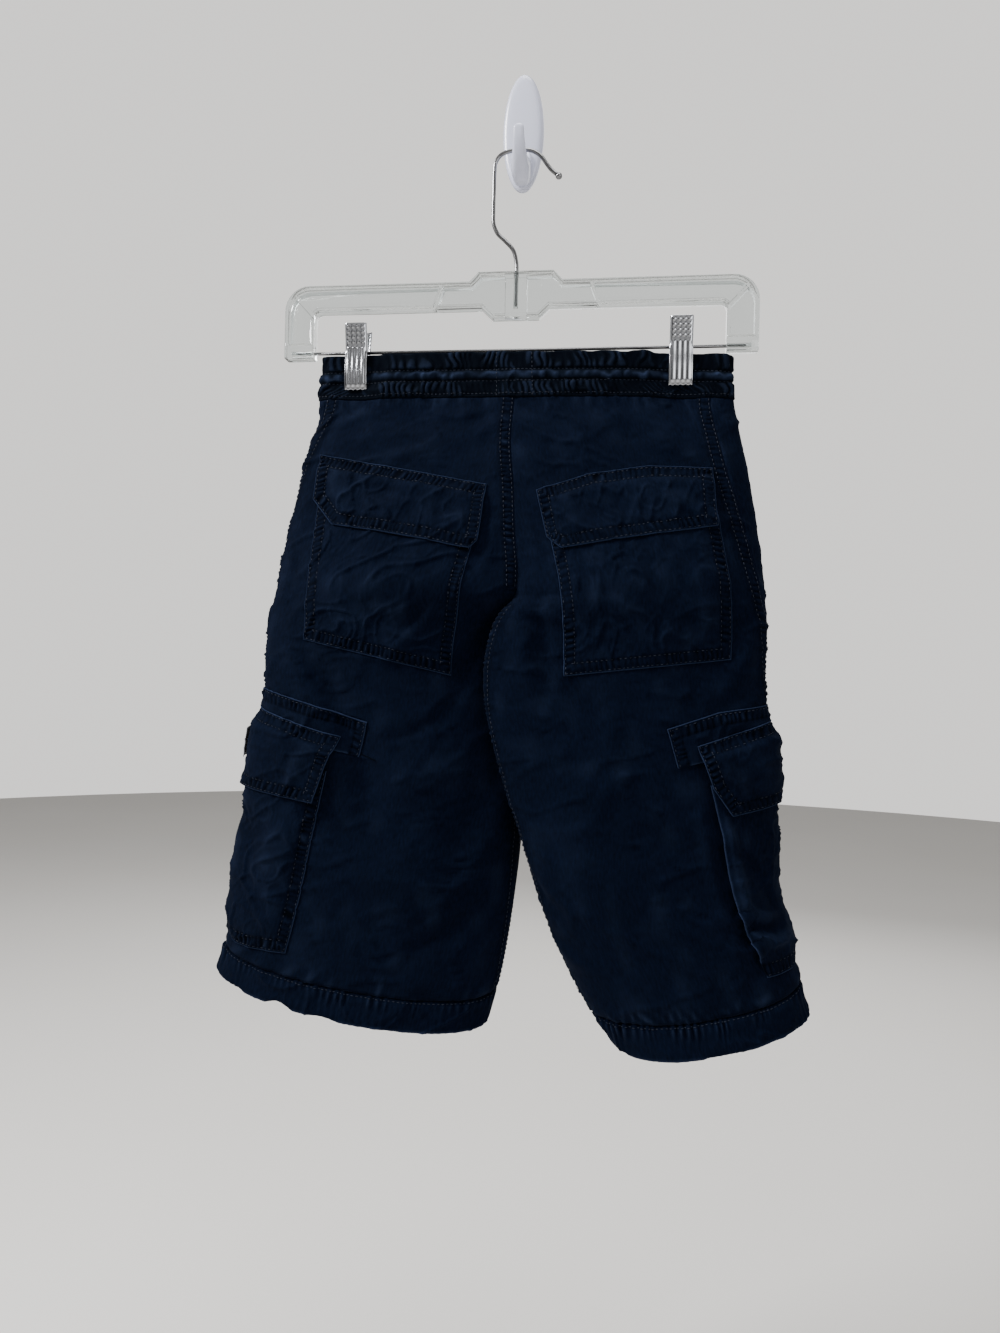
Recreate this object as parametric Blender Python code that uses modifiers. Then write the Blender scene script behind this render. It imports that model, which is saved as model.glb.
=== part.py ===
"""Boy's cargo shorts, hung back to the room from a clip hanger on an adhesive wall hook.

Frame: the origin is the middle of the wall hook's back face, +Y points into the wall, +X is to
the right of someone facing the wall, and +Z is up. All sizes below are millimetres, and only
the meshes are metres. The shorts turn their back to the room, so their back is at low Y and
their front, against the wall, at high Y. "left" is the half at -X, the wearer's left.
"""

import math
from collections import namedtuple

import bmesh
import bpy
import numpy as np
from mathutils import Matrix

MM = 0.001

# ---- driving sizes -------------------------------------------------------------------------
HANGER_Y = -18.0
HANGER_X = -0.5
HANGER_WIDTH = 305.0
ROD_Z = -148.3
ROD_RADIUS = 1.05
WIRE_RADIUS = 1.3

WAISTBAND_TOP = -31.0
WAIST_SEAM = 0.0
CROTCH = 126.0
HEM_SEAM = 354.0
HEM_EDGE = 372.0

SEAM_GAP = 0.3
CROTCH_EASE = 8  # four seams cross there, and the gap is this many times wider
CLOTH = 1.2
DOUBLE_CLOTH = 1.8
ELASTIC_BAND = 3.0

BACK_COLUMNS = 13
FRONT_COLUMNS = 8
PATH_SAMPLES = 48
BAND_LEVELS = [WAISTBAND_TOP, -20, -10, WAIST_SEAM]
PANEL_LEVELS = [
    WAIST_SEAM, 12, 26, 42, 58, 74, 90, 102, 114, CROTCH, 132, 140, 150, 162, 176, 192, 210, 228,
    246, 264, 284, 304, 322, 338, HEM_SEAM,
]

# ---- the cloth's shape ---------------------------------------------------------------------
# Every section runs from a centre seam or an inseam, out over the back to the side fold, and
# from the side fold over the front to the other edge. Its level is counted in millimetres
# down the side from the waist seam. turn is the direction in which the cloth leaves the edge:
# 0 is straight out to the side, 90 is straight out of that layer, to the room or to the wall.
Edge = namedtuple("Edge", "level x y z turn reach drop")
Side = namedtuple("Side", "level x y z back_reach front_reach seam drop")
Fold = namedtuple("Fold", "a0 level0 a1 level1 width depth")

FRONT_PLANE = -1.0  # how near the wall the front leans at its inseam
CROTCH_TURN = 85

CENTRE_BACK = [
    Edge(WAISTBAND_TOP, 0, -24.5, -151, 0, 60, 0),
    Edge(WAIST_SEAM, 1, -26, -180, 0, 60, 0),
    Edge(30, 0, -31, -210, 0, 60, 0),
    Edge(60, 3, -35, -240, 0, 60, 0),
    Edge(90, 5, -39, -270, 8, 55, 0),
    Edge(112, 7, -41, -293, 25, 42, 0),
    Edge(CROTCH, 6, -40, -308, 55, 26, 0),
]
CENTRE_FRONT = [
    Edge(WAISTBAND_TOP, 4, -11.5, -151, 0, 60, 0),
    Edge(WAIST_SEAM, 4, -10, -180, 0, 60, 0),
    Edge(50, 4, -8, -230, 0, 60, 0),
    Edge(86, 4, -9, -266, 0, 50, 0),
    Edge(108, 5, -18, -292, 40, 28, 0),
    Edge(CROTCH, 6, -40, -308, CROTCH_TURN, 36, 0),
]
LEFT_INSEAM_BACK = [
    Edge(CROTCH, 6, -40, -308, 55, 26, 0),
    Edge(140, 4, -28, -320, 50, 34, 0),
    Edge(160, 4, -21, -340, 50, 38, 0),
    Edge(200, 7, -19, -382, 50, 42, 0),
    Edge(260, 11, -20, -449, 60, 40, 2),
    Edge(310, 7, -23, -505, 80, 38, 6),
    Edge(350, 0, -26, -549, 88, 38, 14),
    Edge(HEM_EDGE, -6, -27, -573, 90, 38, 18),
]
RIGHT_INSEAM_BACK = [
    Edge(CROTCH, 6, -40, -308, 55, 26, 0),
    Edge(140, -4, -41, -321, 110, 20, 0),
    Edge(160, -10, -40, -342, 128, 22, 0),
    Edge(185, -11, -39, -368, 128, 24, 0),
    Edge(215, -5, -37, -400, 118, 26, 0),
    Edge(265, 12, -33, -455, 102, 32, 2),
    Edge(310, 29, -29, -507, 92, 38, 6),
    Edge(350, 54, -27, -556, 90, 38, 14),
    Edge(HEM_EDGE, 72, -27, -581, 90, 38, 18),
]


def facing(rows):
    """The front's rows for an inseam: they carry on smoothly from the back's, and lean as far
    towards the wall at every level."""
    made = []
    for row in rows:
        turn = CROTCH_TURN if row.level == CROTCH else 180 - row.turn
        reach = (FRONT_PLANE - row.y) / math.sin(math.radians(turn))
        made.append(row._replace(turn=turn, reach=reach))
    return made


LEFT_SIDE = [
    Side(WAISTBAND_TOP, -128, -18, -150.5, 9, 9, 0, 0),
    Side(WAIST_SEAM, -129.5, -19, -179.6, 10, 10, -8, 0),
    Side(12, -129, -19.5, -191, 12, 10, -6, 0),
    Side(27, -133, -20, -206.5, 14, 10, -3, 0),
    Side(66, -141, -22, -246, 18, 13, 3, 0),
    Side(112, -150, -24, -292, 22, 15, 6, 0),
    Side(145, -157, -25, -325, 27, 17, 6, 0),
    Side(171, -159, -25, -351, 34, 18, 6, 0),
    Side(200, -159, -25, -380, 34, 18, 6, 0),
    Side(254, -166, -26, -434, 34, 18, 6, 2),
    Side(317, -174, -27, -497, 34, 18, 6, 6),
    Side(350, -180, -27, -530, 34, 18, 6, 14),
    Side(HEM_EDGE, -186, -27, -551, 34, 18, 6, 16),
]
RIGHT_SIDE = [
    Side(WAISTBAND_TOP, 136, -18, -154.5, 9, 9, 0, 0),
    Side(WAIST_SEAM, 138, -19, -181.6, 10, 10, -16, 0),
    Side(27, 143, -20, -208.5, 14, 10, -18, 0),
    Side(66, 150, -22, -246, 18, 13, -16, 0),
    Side(112, 157, -24, -292, 22, 15, -10, 0),
    Side(145, 160, -25, -325, 27, 17, -3, 0),
    Side(176, 159, -25, -357, 31, 18, 2, 0),
    Side(200, 161, -25, -381, 34, 18, 6, 0),
    Side(254, 165, -26, -433, 34, 18, 6, 2),
    Side(310, 169, -27, -491, 34, 18, 6, 6),
    Side(345, 182, -27, -527, 34, 18, 6, 12),
    Side(HEM_EDGE, 190, -27, -555, 34, 18, 6, 14),
]


# A fold's two ends are places on the cloth; a positive depth stands out, a negative one dips.
def clip_pinch(a):
    """The dents that a clip's jaws press in both layers of the waistband."""
    return [Fold(side * a, WAISTBAND_TOP, side * a, -2, 17, -3.3) for side in (-1, 1)]


LEFT_FOLDS = clip_pinch(28) + [
    Fold(-38, 160, -70, 212, 15, -3),
    Fold(-70, 212, -104, 270, 18, -7),
    Fold(-158, 140, -140, 178, 9, -4),
    Fold(-128, 205, -132, 330, 26, 4),
]
RIGHT_FOLDS = clip_pinch(35) + [
    Fold(-147, 118, -137, 190, 8, -4),
    Fold(-120, 205, -105, 330, 30, 3),
    Fold(-8, 150, -40, 198, 9, 2),
]

# ---- what is sewn on: corners are (distance round the leg from the side fold, level) ---------
LEFT_POCKET = [(-21, 62), (-131, 76), (-135, 178), (-38.5, 158)]
LEFT_FLAP = [(-15, 38), (-129.5, 58), (-135, 95), (-131, 100), (-38, 85), (-20, 68)]
RIGHT_POCKET = [(-134, 81), (-29, 67), (-28.5, 164), (-128.5, 175)]
RIGHT_FLAP = [(-136.5, 62), (-101, 51), (-64, 46), (-25.5, 47), (-31, 85), (-127, 99.5), (-135.5, 91.5)]
LEFT_CARGO_PATCH = [(-84, 207), (-14, 190), (40, 184), (40, 205), (-81, 228)]
LEFT_CARGO_FLAP = [(-67, 217), (-4, 201), (50, 194), (56, 238), (-4, 252), (-59, 256)]
LEFT_CARGO_POCKET = [(-63, 237), (51, 224), (50, 334), (-18, 347), (-56, 342)]
RIGHT_CARGO_PATCH = [(-70, 205), (-38, 195), (0, 190), (56, 184), (56, 205), (0, 214), (-65, 228)]
RIGHT_CARGO_FLAP = [(-53, 215), (-5, 200), (58, 192), (62, 236), (-10, 252), (-36, 256), (-46, 240)]
RIGHT_CARGO_POCKET = [(-47, 238), (56, 222), (56, 330), (-10, 343), (-30, 341)]
LABEL = [(-5, 216), (11, 212), (12, 232), (-4, 236)]

BACK_POCKET_BULGE = 1.2
CARGO_BULGE = 3.5
PATCH_CLOTH = 0.9


def between(rows, level):
    """Values of a table's columns at some levels, on a smooth curve through its rows."""
    table = np.array(rows, float)
    at, values = table[:, 0], table[:, 1:]
    slopes = np.gradient(values, at, axis=0)
    level = np.clip(level, at[0], at[-1])
    row = np.clip(np.searchsorted(at, level, side="right") - 1, 0, len(at) - 2)
    span = (at[row + 1] - at[row])[:, None]
    t = (level - at[row])[:, None] / span
    return (
        values[row] * (1 + 2 * t) * (1 - t) ** 2
        + values[row + 1] * t * t * (3 - 2 * t)
        + slopes[row] * span * t * (1 - t) ** 2
        + slopes[row + 1] * span * t * t * (t - 1)
    )


def edge_between(centre_seam, inseam, level):
    """The edge's values: the centre seam above the crotch, and the inseam below it."""
    above = (level <= CROTCH)[:, None]
    return np.where(above, between(centre_seam, level), between(inseam, level))


def cubic(control, t):
    """Points of cubic curves, one for each row of control points."""
    t = t[..., None]
    s = 1 - t
    p = control[:, None]
    return s**3 * p[:, :, 0] + 3 * s * s * t * p[:, :, 1] + 3 * s * t * t * p[:, :, 2] + t**3 * p[:, :, 3]


class Half:
    """One leg and its half of the seat, as an outer surface addressed by cloth position.

    A place is (a, level): a is the distance round the leg from the side fold, negative over
    the back and positive over the front.
    """

    def __init__(self, outward, side, back_inseam, front_inseam, folds):
        self.outward = outward
        self.side = side
        self.back_inseam = back_inseam
        self.front_inseam = front_inseam
        self.folds = folds

    def controls(self, level):
        """Control points of the back's and the front's curves, from the side fold inwards."""
        side = between(self.side, level)
        back = edge_between(CENTRE_BACK, self.back_inseam, level)
        front = edge_between(CENTRE_FRONT, self.front_inseam, level)
        nought = np.zeros(len(level))
        curves = []
        for edge, reach, to_wall in ((back, side[:, 3], -1), (front, side[:, 4], 1)):
            start, end = side[:, :3], edge[:, :3]
            drop = (side[:, 6], edge[:, 5]) if to_wall < 0 else (nought, nought)
            turn = np.radians(edge[:, 3])
            leave = start + np.stack([nought, to_wall * reach, -drop[0]], 1)
            way = np.stack([self.outward * np.cos(turn), to_wall * np.sin(turn), nought], 1)
            arrive = end + edge[:, 4:5] * way
            arrive[:, 2] -= drop[1]
            curves.append(np.stack([start, leave, arrive, end], 1))
        return curves

    def lengths(self, level):
        """How far the back and the front reach from the side fold, at some levels."""
        t = np.linspace(0, 1, PATH_SAMPLES)[None]
        steps = [np.diff(cubic(control, t), axis=1) for control in self.controls(level)]
        return [np.linalg.norm(step, axis=2).sum(1) for step in steps]

    def place(self, a, level):
        """Points of the smooth surface, before its folds."""
        shape = a.shape
        a, level = a.ravel(), level.ravel()
        back, front = self.controls(level)
        control = np.where((a < 0)[:, None, None], back, front)
        t = np.linspace(0, 1, PATH_SAMPLES)
        path = cubic(control, np.broadcast_to(t, (len(a), PATH_SAMPLES)))
        steps = np.linalg.norm(np.diff(path, axis=1), axis=2)
        run = np.concatenate([np.zeros((len(a), 1)), np.cumsum(steps, axis=1)], axis=1)
        want = np.minimum(np.abs(a), run[:, -1])
        here = np.clip((run < want[:, None]).sum(1), 1, PATH_SAMPLES - 1)
        k = np.arange(len(a))
        part = (want - run[k, here - 1]) / (run[k, here] - run[k, here - 1])
        t = (here - 1 + part) / (PATH_SAMPLES - 1)
        return cubic(control, t[:, None])[:, 0].reshape(shape + (3,))

    def dent(self, a, level):
        """How far the folds lift the surface off its smooth shape."""
        total = np.zeros(a.shape)
        for fold in self.folds:
            along_a, along_level = fold.a1 - fold.a0, fold.level1 - fold.level0
            run = (a - fold.a0) * along_a + (level - fold.level0) * along_level
            s = np.clip(run / (along_a**2 + along_level**2), 0, 1)
            off = np.hypot(a - fold.a0 - s * along_a, level - fold.level0 - s * along_level)
            total += fold.depth * np.exp(-((off / fold.width) ** 2))
        return total

    def grid(self, levels):
        """Rows of cloth places with their points and outward normals, from the back's inner
        edge over the side seam to the front's inner edge."""
        levels = np.array(levels, float)
        back, front = self.lengths(levels)
        seam = between(self.side, levels)[:, 5]
        over_back = -back[:, None] + (seam + back)[:, None] * fractions(BACK_COLUMNS)
        over_front = seam[:, None] + (front - seam)[:, None] * fractions(FRONT_COLUMNS)
        a = np.concatenate([over_back, over_front[:, 1:]], axis=1)
        level = np.broadcast_to(levels[:, None], a.shape)
        points = self.place(a, level)
        fade = ramp(a + back[:, None], 12) * ramp(front[:, None] - a, 12)
        points = points + self.normals(points) * (fade * self.dent(a, level))[..., None]
        return Grid(a, level, points, self.normals(points))

    def normals(self, points):
        """Unit normals out of the leg, smooth across an inseam."""
        along, down = np.gradient(points, axis=1), np.gradient(points, axis=0)
        joined = np.linalg.norm(points[:, 0] - points[:, -1], axis=1) < SEAM_GAP
        around = points[:, 1] - points[:, -2]
        along[joined, 0] = along[joined, -1] = around[joined]
        normal = unit(np.cross(down, along) * self.outward)
        shared = unit(normal[:, 0] + normal[:, -1])
        normal[joined, 0] = normal[joined, -1] = shared[joined]
        return normal


class Grid:
    """Rows and columns of cloth places, with their points and outward normals."""

    def __init__(self, a, level, points, normals):
        self.a, self.level, self.points, self.normals = a, level, points, normals
        self.triangles = grid_triangles(*a.shape)

    def cut(self, rows, columns):
        """A panel: part of the grid, pulled in by half a seam gap all round."""
        points = self.points[rows, columns].copy()
        crossing = np.exp(-(((self.level[rows, :1] - CROTCH) / 7) ** 2))
        for step, line in ((1, 0), (-1, -1)):
            pull_in(points[:, line], points[:, line + step], 1 + CROTCH_EASE * crossing)
            pull_in(points[line], points[line + step])
        return points, self.normals[rows, columns]

    def at(self, a, level):
        """Point and normal on the facet that holds a cloth place."""
        flat = np.stack([self.a.ravel(), self.level.ravel()], 1)
        corner = flat[self.triangles]
        e1, e2 = corner[:, 1] - corner[:, 0], corner[:, 2] - corner[:, 0]
        off = np.array([a, level]) - corner[:, 0]
        area = e1[:, 0] * e2[:, 1] - e1[:, 1] * e2[:, 0]
        u = (off[:, 0] * e2[:, 1] - off[:, 1] * e2[:, 0]) / area
        v = (e1[:, 0] * off[:, 1] - e1[:, 1] * off[:, 0]) / area
        best = np.argmax(np.minimum(np.minimum(u, v), 1 - u - v))
        share = np.array([1 - u[best] - v[best], u[best], v[best]])
        held = self.triangles[best]
        return share @ self.points.reshape(-1, 3)[held], share @ self.normals.reshape(-1, 3)[held]


def unit(vectors):
    """Vectors of length 1."""
    return vectors / np.linalg.norm(vectors, axis=-1, keepdims=True)


def share_centre_seams(left, right):
    """Give the two halves the same normals along their centre back and centre front seams."""
    above = left.level[:, 0] <= CROTCH
    for column in (0, -1):
        shared = unit(left.normals[above, column] + right.normals[above, column])
        left.normals[above, column] = right.normals[above, column] = shared


def fractions(count):
    """Shares of a row from 0 to 1, closer together at both ends, where the cloth turns."""
    even = np.linspace(0, 1, count + 1)
    return 0.5 * even + 0.25 * (1 - np.cos(np.pi * even))


def pull_in(line, neighbour, times=1):
    """Move a line of points half a seam gap, or some times that, towards its neighbour."""
    line += unit(neighbour - line) * SEAM_GAP / 2 * times


def grid_triangles(rows, columns, ring=False):
    """Two triangles for each cell of a grid whose columns may close into a ring."""
    index = np.arange(rows * columns).reshape(rows, columns)
    after = np.roll(index, -1, axis=1)
    a, b, c, d = index[:-1], after[:-1], after[1:], index[1:]
    if not ring:
        a, b, c, d = (cell[:, :-1] for cell in (a, b, c, d))
    a, b, c, d = (cell.ravel() for cell in (a, b, c, d))
    return np.concatenate([np.stack([a, b, c], 1), np.stack([a, c, d], 1)])


# ---- Blender objects -----------------------------------------------------------------------
def clear_scene():
    """Remove every object that the file starts with."""
    for item in list(bpy.data.objects):
        bpy.data.objects.remove(item, do_unlink=True)


def new_collection(name):
    """A collection linked to the scene."""
    collection = bpy.data.collections.new(name)
    bpy.context.scene.collection.children.link(collection)
    return collection


def material(name, colour, roughness, metallic=0.0, alpha=1.0):
    """A Principled material of one colour."""
    made = bpy.data.materials.new(name)
    made.use_nodes = True
    shader = made.node_tree.nodes["Principled BSDF"]
    shader.inputs["Base Color"].default_value = (*colour, 1.0)
    shader.inputs["Roughness"].default_value = roughness
    shader.inputs["Metallic"].default_value = metallic
    shader.inputs["Alpha"].default_value = alpha
    made.diffuse_color = (*colour, alpha)
    return made


def add_object(name, mesh, finish, collection):
    """Link a mesh as a named object with one material."""
    item = bpy.data.objects.new(name, mesh)
    if finish:
        mesh.materials.clear()
        mesh.materials.append(finish)
    collection.objects.link(item)
    return item


def cloth(name, inner, outer, triangles, finish, collection):
    """A wall of cloth between two sets of points that share their triangles."""
    inner, outer = inner.reshape(-1, 3), outer.reshape(-1, 3)
    count = len(outer)
    faces = [tuple(face) for face in triangles]
    sides = {edge for face in faces for edge in zip(face, face[1:] + face[:1])}
    rim = [edge for edge in sorted(sides) if edge[::-1] not in sides]
    bed = [tuple(count + corner for corner in face[::-1]) for face in faces]
    walls = [(b, a, count + a, count + b) for a, b in rim]
    mesh = bpy.data.meshes.new(name)
    mesh.from_pydata(np.concatenate([outer, inner]) * MM, [], faces + bed + walls)
    face_out(mesh)
    return add_object(name, mesh, finish, collection)


def face_out(mesh):
    """Turn all of a closed mesh's faces outwards and split them into triangles."""
    work = bmesh.new()
    work.from_mesh(mesh)
    bmesh.ops.recalc_face_normals(work, faces=work.faces)
    bmesh.ops.triangulate(work, faces=work.faces)
    work.to_mesh(mesh)
    work.free()


def panel(name, grid, rows, columns, thickness, finish, collection):
    """A cut panel of the garment, its wall inside the grid's outer surface."""
    points, normals = grid.cut(rows, columns)
    triangles = grid_triangles(*points.shape[:2])
    return cloth(name, points - normals * thickness, points, triangles, finish, collection)


def ring(name, points, normals, thickness, finish, collection):
    """A band that closes on itself, its wall inside the given surface."""
    pull_in(points[0], points[1])
    pull_in(points[-1], points[-2])
    triangles = grid_triangles(*points.shape[:2], ring=True)
    return cloth(name, points - normals * thickness, points, triangles, finish, collection)


def flat_patch(grid, outline):
    """The part of a grid inside a convex outline, as places and triangles on the flat cloth."""
    work = bmesh.new()
    for a, level in zip(grid.a.ravel(), grid.level.ravel()):
        work.verts.new((a, level, 0))
    work.verts.ensure_lookup_table()
    for face in grid.triangles:
        work.faces.new([work.verts[corner] for corner in face])
    middle = np.mean(outline, axis=0)
    for (a0, level0), (a1, level1) in zip(outline, outline[1:] + outline[:1]):
        out = np.array([level1 - level0, a0 - a1], float)
        out *= np.sign(out @ (np.array([a0, level0]) - middle))
        geometry = work.verts[:] + work.edges[:] + work.faces[:]
        bmesh.ops.bisect_plane(
            work, geom=geometry, dist=1e-4, plane_co=(a0, level0, 0), plane_no=(*out, 0), clear_outer=True
        )
    bmesh.ops.remove_doubles(work, verts=work.verts, dist=0.05)
    bmesh.ops.triangulate(work, faces=work.faces)
    places = np.array([vertex.co[:2] for vertex in work.verts])
    work.verts.index_update()
    triangles = [[vertex.index for vertex in face.verts] for face in work.faces]
    work.free()
    return places, triangles


def sewn_on(name, grid, outline, height, thickness, finish, collection):
    """A piece that lies on the garment: the garment's own facets inside an outline, moved out
    by height(a, level) and given a wall."""
    places, triangles = flat_patch(grid, outline)
    held = [grid.at(*place) for place in places]
    points = np.array([point for point, _ in held])
    normals = np.array([normal for _, normal in held])
    lift = height(places)[:, None]
    return cloth(
        name, points + normals * lift, points + normals * (lift + thickness), triangles, finish, collection
    )


def edge_distance(places, outline, edges):
    """Distance of places on the cloth to the nearest of some of an outline's edges."""
    best = np.full(len(places), np.inf)
    for number in edges:
        start, end = np.array(outline[number]), np.array(outline[(number + 1) % len(outline)])
        way = end - start
        s = np.clip((places - start) @ way / (way @ way), 0, 1)
        best = np.minimum(best, np.linalg.norm(places - start - s[:, None] * way, axis=1))
    return best


def ramp(distance, reach):
    """Rise smoothly from 0 to 1 over a distance."""
    t = np.clip(distance / reach, 0, 1)
    return t * t * (3 - 2 * t)


def pocket_height(outline, closed_edges, bulge, base=SEAM_GAP):
    """Height of a pocket off the garment: sewn down at its closed edges, standing off inside."""
    return lambda places: base + bulge * ramp(edge_distance(places, outline, closed_edges), 14.0)


def flap_height(outline, sewn_edges, base, clear):
    """Height of a flap off the garment: sewn down at its top, and clear of its pocket below."""
    return lambda places: base + clear * ramp(edge_distance(places, outline, sewn_edges) - 3.0, 9.0)


# ---- hard parts ----------------------------------------------------------------------------
FACE_ROOM = Matrix.Rotation(math.radians(90), 4, "X")
FACE_SIDE = Matrix(((0, 0, 1, 0), (1, 0, 0, 0), (0, 1, 0, 0), (0, 0, 0, 1)))


def flat_mesh(name, outlines, thickness, turn, centre):
    """A flat plate from closed outlines, the later ones cutting holes, as a closed mesh."""
    curve = bpy.data.curves.new(name, "CURVE")
    curve.dimensions = "2D"
    curve.fill_mode = "BOTH"
    curve.extrude = thickness / 2 * MM
    for outline in outlines:
        spline = curve.splines.new("POLY")
        spline.points.add(len(outline) - 1)
        spline.use_cyclic_u = True
        for point, (u, v) in zip(spline.points, outline):
            point.co = (u * MM, v * MM, 0, 1)
    return curve_mesh(name, curve, Matrix.Translation([c * MM for c in centre]) @ turn)


def curve_mesh(name, curve, matrix):
    """A curve's evaluated shape as a welded mesh with its place applied."""
    item = bpy.data.objects.new(name, curve)
    bpy.context.scene.collection.objects.link(item)
    graph = bpy.context.evaluated_depsgraph_get()
    mesh = bpy.data.meshes.new_from_object(item.evaluated_get(graph))
    bpy.data.objects.remove(item, do_unlink=True)
    work = bmesh.new()
    work.from_mesh(mesh)
    bmesh.ops.remove_doubles(work, verts=work.verts, dist=1e-6)
    bmesh.ops.transform(work, matrix=matrix, verts=work.verts)
    bmesh.ops.recalc_face_normals(work, faces=work.faces)
    work.to_mesh(mesh)
    work.free()
    return mesh


def tube_mesh(name, points, radius, resolution=2):
    """A round wire along points, with flat ends."""
    curve = bpy.data.curves.new(name, "CURVE")
    curve.dimensions = "3D"
    curve.bevel_depth = radius * MM
    curve.bevel_resolution = resolution
    curve.use_fill_caps = True
    spline = curve.splines.new("POLY")
    spline.points.add(len(points) - 1)
    for point, place in zip(spline.points, points):
        point.co = (*(c * MM for c in place), 1)
    return curve_mesh(name, curve, Matrix())


def box_mesh(name, centre, size):
    """A box primitive."""
    work = bmesh.new()
    bmesh.ops.create_cube(work, size=1.0)
    bmesh.ops.scale(work, vec=[s * MM for s in size], verts=work.verts)
    bmesh.ops.translate(work, vec=[c * MM for c in centre], verts=work.verts)
    mesh = bpy.data.meshes.new(name)
    work.to_mesh(mesh)
    work.free()
    return mesh


def cylinder_mesh(name, centre, radius, length, turn, segments=24, squash=(1, 1, 1)):
    """A cylinder primitive along its turned Z axis, squashed before it is turned."""
    work = bmesh.new()
    bmesh.ops.create_cone(
        work, cap_ends=True, segments=segments, radius1=radius * MM, radius2=radius * MM, depth=length * MM
    )
    bmesh.ops.scale(work, vec=squash, verts=work.verts)
    place = Matrix.Translation([c * MM for c in centre]) @ turn
    bmesh.ops.transform(work, matrix=place, verts=work.verts)
    mesh = bpy.data.meshes.new(name)
    work.to_mesh(mesh)
    work.free()
    return mesh


def combine(target, others, operation, cutters):
    """Join meshes to an object, or cut them from it, with Boolean modifiers."""
    for number, mesh in enumerate(others):
        tool = add_object(f"{target.name}_{operation.lower()}_{number}", mesh, None, cutters)
        tool.hide_render = True
        tool.display_type = "WIRE"
        step = target.modifiers.new(tool.name, "BOOLEAN")
        step.operation = operation
        step.object = tool


def bevel(item, width, segments):
    """Round an object's sharp edges."""
    step = item.modifiers.new("rounded edges", "BEVEL")
    step.width = width * MM
    step.segments = segments
    step.limit_method = "ANGLE"
    step.angle_limit = math.radians(40)


def arc(centre, radius, start, end, steps):
    """Points on a circular arc, its angles in degrees."""
    angles = [math.radians(start + (end - start) * k / steps) for k in range(steps + 1)]
    return [(centre[0] + radius * math.cos(w), centre[1] + radius * math.sin(w)) for w in angles]


def inset(outline, distance):
    """A closed anticlockwise outline moved inwards by a distance."""
    points = np.array(outline)
    before, after = np.roll(points, 1, axis=0), np.roll(points, -1, axis=0)
    ways = [points - before, after - points]
    ways = [way / np.linalg.norm(way, axis=1, keepdims=True) for way in ways]
    normals = [np.stack([-way[:, 1], way[:, 0]], 1) for way in ways]
    mitre = normals[0] + normals[1]
    mitre /= (mitre * normals[0]).sum(1, keepdims=True)
    return [tuple(point) for point in points + mitre * distance]


def smooth_path(points, steps):
    """A smooth curve through hand-placed points."""
    places = np.array(points, float)
    at = np.concatenate([[0], np.cumsum(np.linalg.norm(np.diff(places, axis=0), axis=1))])
    rows = [(t, *place) for t, place in zip(at, places)]
    return between(rows, np.linspace(0, at[-1], steps))


FRAME_THICKNESS = 9.0
WEB_THICKNESS = 1.5
RIM = 2.2
BAR_TOP = -105.0
BAR_BOTTOM = -121.5
STEP_TOP = -99.0
STEP_BOTTOM = -128.0
LEG_WIDTH = 19.5
LEG_BOTTOM = -152.0
SOCKET_HEIGHT = 9.0
CORNER_RADIUS = 16.0


def frame_outline():
    """The hanger frame's outline in X and Z, anticlockwise, from the left leg's foot."""
    end = HANGER_WIDTH / 2
    leg = end - LEG_WIDTH
    low = [(-end, LEG_BOTTOM), (-leg, LEG_BOTTOM)]
    low += arc((-leg + 4, BAR_BOTTOM - 4), 4, 180, 90, 4)
    low += [(-22, BAR_BOTTOM), (-15, STEP_BOTTOM)]
    top = arc((end - CORNER_RADIUS, BAR_TOP - CORNER_RADIUS), CORNER_RADIUS, 0, 90, 8)
    top += [(30, BAR_TOP), (24, STEP_TOP)]
    right = [(-x, z) for x, z in reversed(low)]
    left = [(-x, z) for x, z in reversed(top)]
    return [(x + HANGER_X, z) for x, z in low + right + top + left]


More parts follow.
